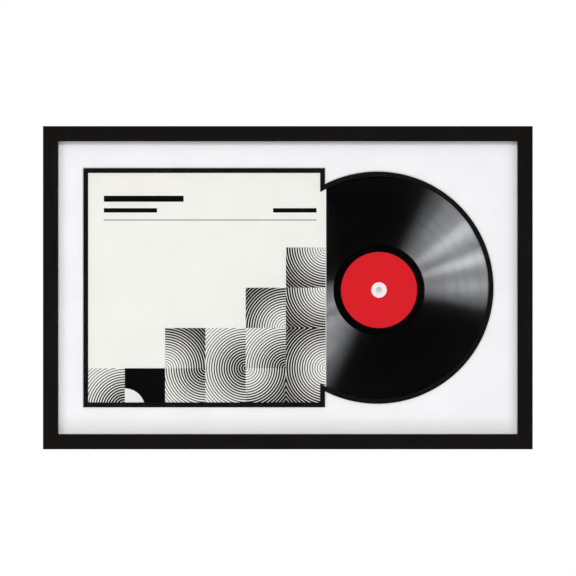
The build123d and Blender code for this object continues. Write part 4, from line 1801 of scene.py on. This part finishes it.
@dataclass
class Bumpers:
    """Four soft rubber bumpers near the corners, which touch the wall."""

    foot_radius: float = 5.0 * MM
    draft: float = 0.5 * MM
    rim_round: float = 0.6 * MM
    dish_depth: float = 0.25 * MM
    dish_margin: float = 0.3 * MM
    dish_steepness: float = 2.2
    skirt: float = 0.3 * MM
    skirt_step: float = 0.12 * MM
    ease: float = 0.1 * MM
    rim_steps: int = 7
    dish_steps: int = 9
    around_steps: int = 56

    def build(self) -> None:
        """Turns each bumper: a small skirt, a tapered side, a rounded rim and a shallow dish."""
        low, high = corners_of("bumpers")
        height = high[1] - low[1]
        foot, top, ease = self.foot_radius, self.foot_radius - self.draft, self.ease
        rows = [(0.0, 0.0), (foot - ease, 0.0), (foot, ease), (foot, self.skirt)]
        rows += [(foot - self.skirt_step, self.skirt + ease)]
        rows += quarter_arc(top, height, self.rim_round, self.rim_steps)[::-1]
        share = np.linspace(1, 0, self.dish_steps + 1)
        reach = share * (top - self.rim_round - self.dish_margin)
        fall = self.dish_depth * smooth_step(self.dish_steepness * (1 - share))
        bumper = turned(np.array(rows + list(zip(reach, height - fall))), self.around_steps)
        surface = Surface("bumper_set")
        for x, z in product((low[0] + foot, high[0] - foot), (low[2] + foot, high[2] - foot)):
            surface.grid(bumper + (x, low[1], z), wrap=True)
        rubber = SoftRubber("soft_black_rubber", (0.018, 0.018, 0.018), roughness=0.68, specular=0.35)
        finished(surface, [rubber], "bumper_rubber", "bumpers")


@dataclass
class Backing:
    """The glazing and the plain sheets behind the mats, whose CAD shapes are right as they are."""

    board_fibre: float = 0.03 * MM

    def build(self, frame: dict) -> None:
        """Dresses the CAD nodes that stay in view.
        """
        white, brown, fibre = (0.86, 0.86, 0.84), (0.205, 0.125, 0.070), self.board_fibre
        finishes = {
            "glass_pane": ClearGlazing("clear_glazing", (0.997, 0.998, 0.998)),
            "carrier_board": Board("carrier_white", white, roughness=0.85, specular=0.2, fibre=0.15),
            "backing_sheet": Board("backing_paper", (0.96, 0.96, 0.96), roughness=0.85, specular=0.2),
            "backing_board": FibreCore("brown_hardboard", brown, roughness=0.62, depth=fibre),
        }
        for node, finish in finishes.items():
            mesh = frame["nodes"][node].data
            mesh.materials.clear()
            mesh.materials.append(finish.material())
            log.info("%s: CAD mesh kept, dressed as %s", node, finish.title)


# The studio


class Reach(Enum):
    """What a lamp does."""

    SHADE = "lights surfaces and stays out of reflections"
    SHINE = "shows in reflections alone"
    BOTH = "lights surfaces and shows in reflections"


@dataclass(frozen=True)
class Lamp:
    """A soft rectangular lamp that faces the object.

    Its place is given as seen by the camera: clock is the angle from the right towards the top,
    and slant the angle away from the camera's own direction.
    """

    title: str
    clock: float
    slant: float
    distance: float
    width: float
    height: float
    level: float
    reach: Reach = Reach.SHADE
    tint: Colour = (1.0, 1.0, 1.0)

    def switch_on(self, target: Vector) -> bpy.types.Object:
        """Puts the lamp in the scene.

        Args:
            target: the point that it faces.

        Returns:
            The lamp.
        """
        clock, slant = math.radians(self.clock), math.radians(self.slant)
        aside = math.sin(slant)
        away = Vector((aside * math.cos(clock), -math.cos(slant), aside * math.sin(clock)))
        light = bpy.data.lights.new(self.title, "AREA")
        light.shape = "RECTANGLE"
        light.size, light.size_y = self.width, self.height
        light.color = self.tint
        # A level of 1 lights a white surface that faces the lamp as a colour is written
        light.energy = self.level * (math.pi * self.distance) ** 2
        lamp = bpy.data.objects.new(self.title, light)
        bpy.context.scene.collection.objects.link(lamp)
        lamp.location = target + away * self.distance
        lamp.rotation_mode = "QUATERNION"
        lamp.rotation_quaternion = (-away).to_track_quat("-Z", "Y")
        lamp.visible_camera = False
        lamp.visible_diffuse = self.reach is not Reach.SHINE
        lamp.visible_glossy = self.reach is not Reach.SHADE
        return lamp


@dataclass
class Studio:
    """The camera, the lamps, the white surround and the floor."""

    lens: float = 180.0
    sensor: float = 36.0
    picture_width: float = 746.6 * MM
    offset_x: float = 0.2 * MM
    offset_z: float = -0.4 * MM
    surround_below: float = 0.36
    surround_above: float = 0.79
    # Over this range of a mirrored ray's lean towards the wall, the surround turns bright
    behind_range: tuple = (-0.05, 0.3)
    floor_z: float = -0.62
    floor_radius: float = 2.1
    floor_rings: int = 13
    floor_steps: int = 64
    lamps: tuple = (
        Lamp("left_fill", 180, 48, 2.2, 0.6, 0.6, 0.15),
        Lamp("upper_key", 92, 27, 5.0, 2.4, 1.3, 0.325),
        Lamp("low_fill", -62, 68, 2.6, 0.7, 0.7, 0.40),
        Lamp("back_key", 60, 145, 3.0, 3.0, 2.6, 0.5, Reach.BOTH),
    )
    # The record's shine: each streak's clock angle, lamp width and level
    streaks: tuple = (
        (355, 0.12, 0.22), (2, 0.14, 0.52), (17.5, 0.08, 0.82), (27, 0.12, 0.46),
        (34, 0.08, 0.86), (42, 0.12, 0.13), (190, 0.10, 0.46), (198, 0.12, 0.18),
        (224, 0.10, 0.30), (232, 0.14, 0.40), (240, 0.14, 0.14),
    )
    streak_slant: float = 57.0
    streak_distance: float = 1.3
    streak_height: float = 0.14
    streak_tint: Colour = (0.94, 0.965, 1.0)

    def camera(self) -> None:
        """Sets the camera in front of the frame's middle, so that the picture's width fits it."""
        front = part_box("rail_top")[0].y
        data = bpy.data.cameras.new("camera")
        data.lens, data.sensor_width = self.lens, self.sensor
        camera = bpy.data.objects.new("camera", data)
        bpy.context.scene.collection.objects.link(camera)
        distance = self.picture_width * self.lens / self.sensor
        camera.location = (self.offset_x, front - distance, self.offset_z)
        camera.rotation_euler = (math.pi / 2, 0.0, 0.0)
        bpy.context.scene.camera = camera

    def surroundings(self) -> None:
        """A world that is white to the camera, even to matt surfaces, and dark in front to mirrors."""
        world = bpy.data.worlds.new("studio")
        bpy.context.scene.world = world
        world.use_nodes = True
        world.cycles.sampling_method = "NONE"
        graph = Graph(world.node_tree)
        graph.tree.nodes.clear()
        path = graph.add("LightPath").outputs
        _, toward_wall, up = graph.axes(graph.add("TexCoord").outputs["Generated"])
        behind = graph.spread(toward_wall, *self.behind_range)
        mirrored = graph.math("ADD", path["Is Glossy Ray"], path["Is Transmission Ray"], clamp=True)
        seen = graph.math("MAXIMUM", path["Is Camera Ray"], graph.math("MULTIPLY", mirrored, behind))
        even = graph.spread(up, -1.0, 1.0, self.surround_below, self.surround_above)
        shaded = graph.math("MULTIPLY", graph.math("SUBTRACT", 1.0, mirrored), even)
        level = graph.math("MAXIMUM", seen, shaded)
        background = graph.add("Background", {"Color": (1.0, 1.0, 1.0, 1.0), "Strength": level})
        output = graph.tree.nodes.new("ShaderNodeOutputWorld")
        graph.feed(output.inputs["Surface"], background.outputs[0])

    def floor(self) -> None:
        """A round floor under the frame: rings out to its rim, where it has faded away."""
        radius = self.floor_radius * np.linspace(0, 1, self.floor_rings)
        profile = np.stack([radius, np.zeros_like(radius)], axis=1)
        points = turned(profile, self.floor_steps)[..., [0, 2, 1]]
        points[..., 2] = self.floor_z
        surface = Surface("studio_floor")
        surface.grid(points, wrap=True)
        pale, rim = (0.90, 0.90, 0.90), self.floor_radius
        piece = placed(surface, [PaleFloor("pale_floor", pale, roughness=0.9, specular=0.0, rim_radius=rim)])
        piece.visible_diffuse = False
        piece.visible_glossy = False
        piece.visible_shadow = False

    def shine(self, record: bpy.types.Object) -> None:
        """Puts up the lamps that shine in the record, and neither light nor meet anything else.

        Args:
            record: the record.
        """
        group = bpy.data.collections.new("lit_by_record_lamps")
        group.objects.link(record)
        middle = Vector(centre_of("vinyl_record"))
        for clock, width, level in self.streaks:
            lamp = Lamp(
                f"record_streak_{clock}", clock, self.streak_slant, self.streak_distance, width,
                self.streak_height, level, Reach.SHINE, self.streak_tint,
            )
            linking = lamp.switch_on(middle).light_linking
            linking.receiver_collection = group
            linking.blocker_collection = group

    def build(self, record: bpy.types.Object) -> None:
        """Sets up the whole studio.

        Args:
            record: the record, which its own lamps light alone.
        """
        bpy.context.scene.view_settings.view_transform = "Standard"
        self.camera()
        self.surroundings()
        self.floor()
        for lamp in self.lamps:
            lamp.switch_on(Vector((0.0, 0.0, 0.0)))
        self.shine(record)
        log.info("studio: %d lamps", len(self.lamps) + len(self.streaks))


def main() -> None:
    """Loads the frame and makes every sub-assembly on it."""
    logging.basicConfig(level=logging.INFO, format="%(name)s: %(message)s")
    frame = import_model()
    moulding = Moulding()
    moulding.build()
    CornerNails().build(moulding)
    WindowMats().build()
    AlbumSleeve().build()
    record = PressedRecord().build()
    Backing().build(frame)
    TurnButtons().build(frame)
    Hangers().build()
    Bumpers().build()
    Studio().build(record)


if __name__ == "__main__":
    main()
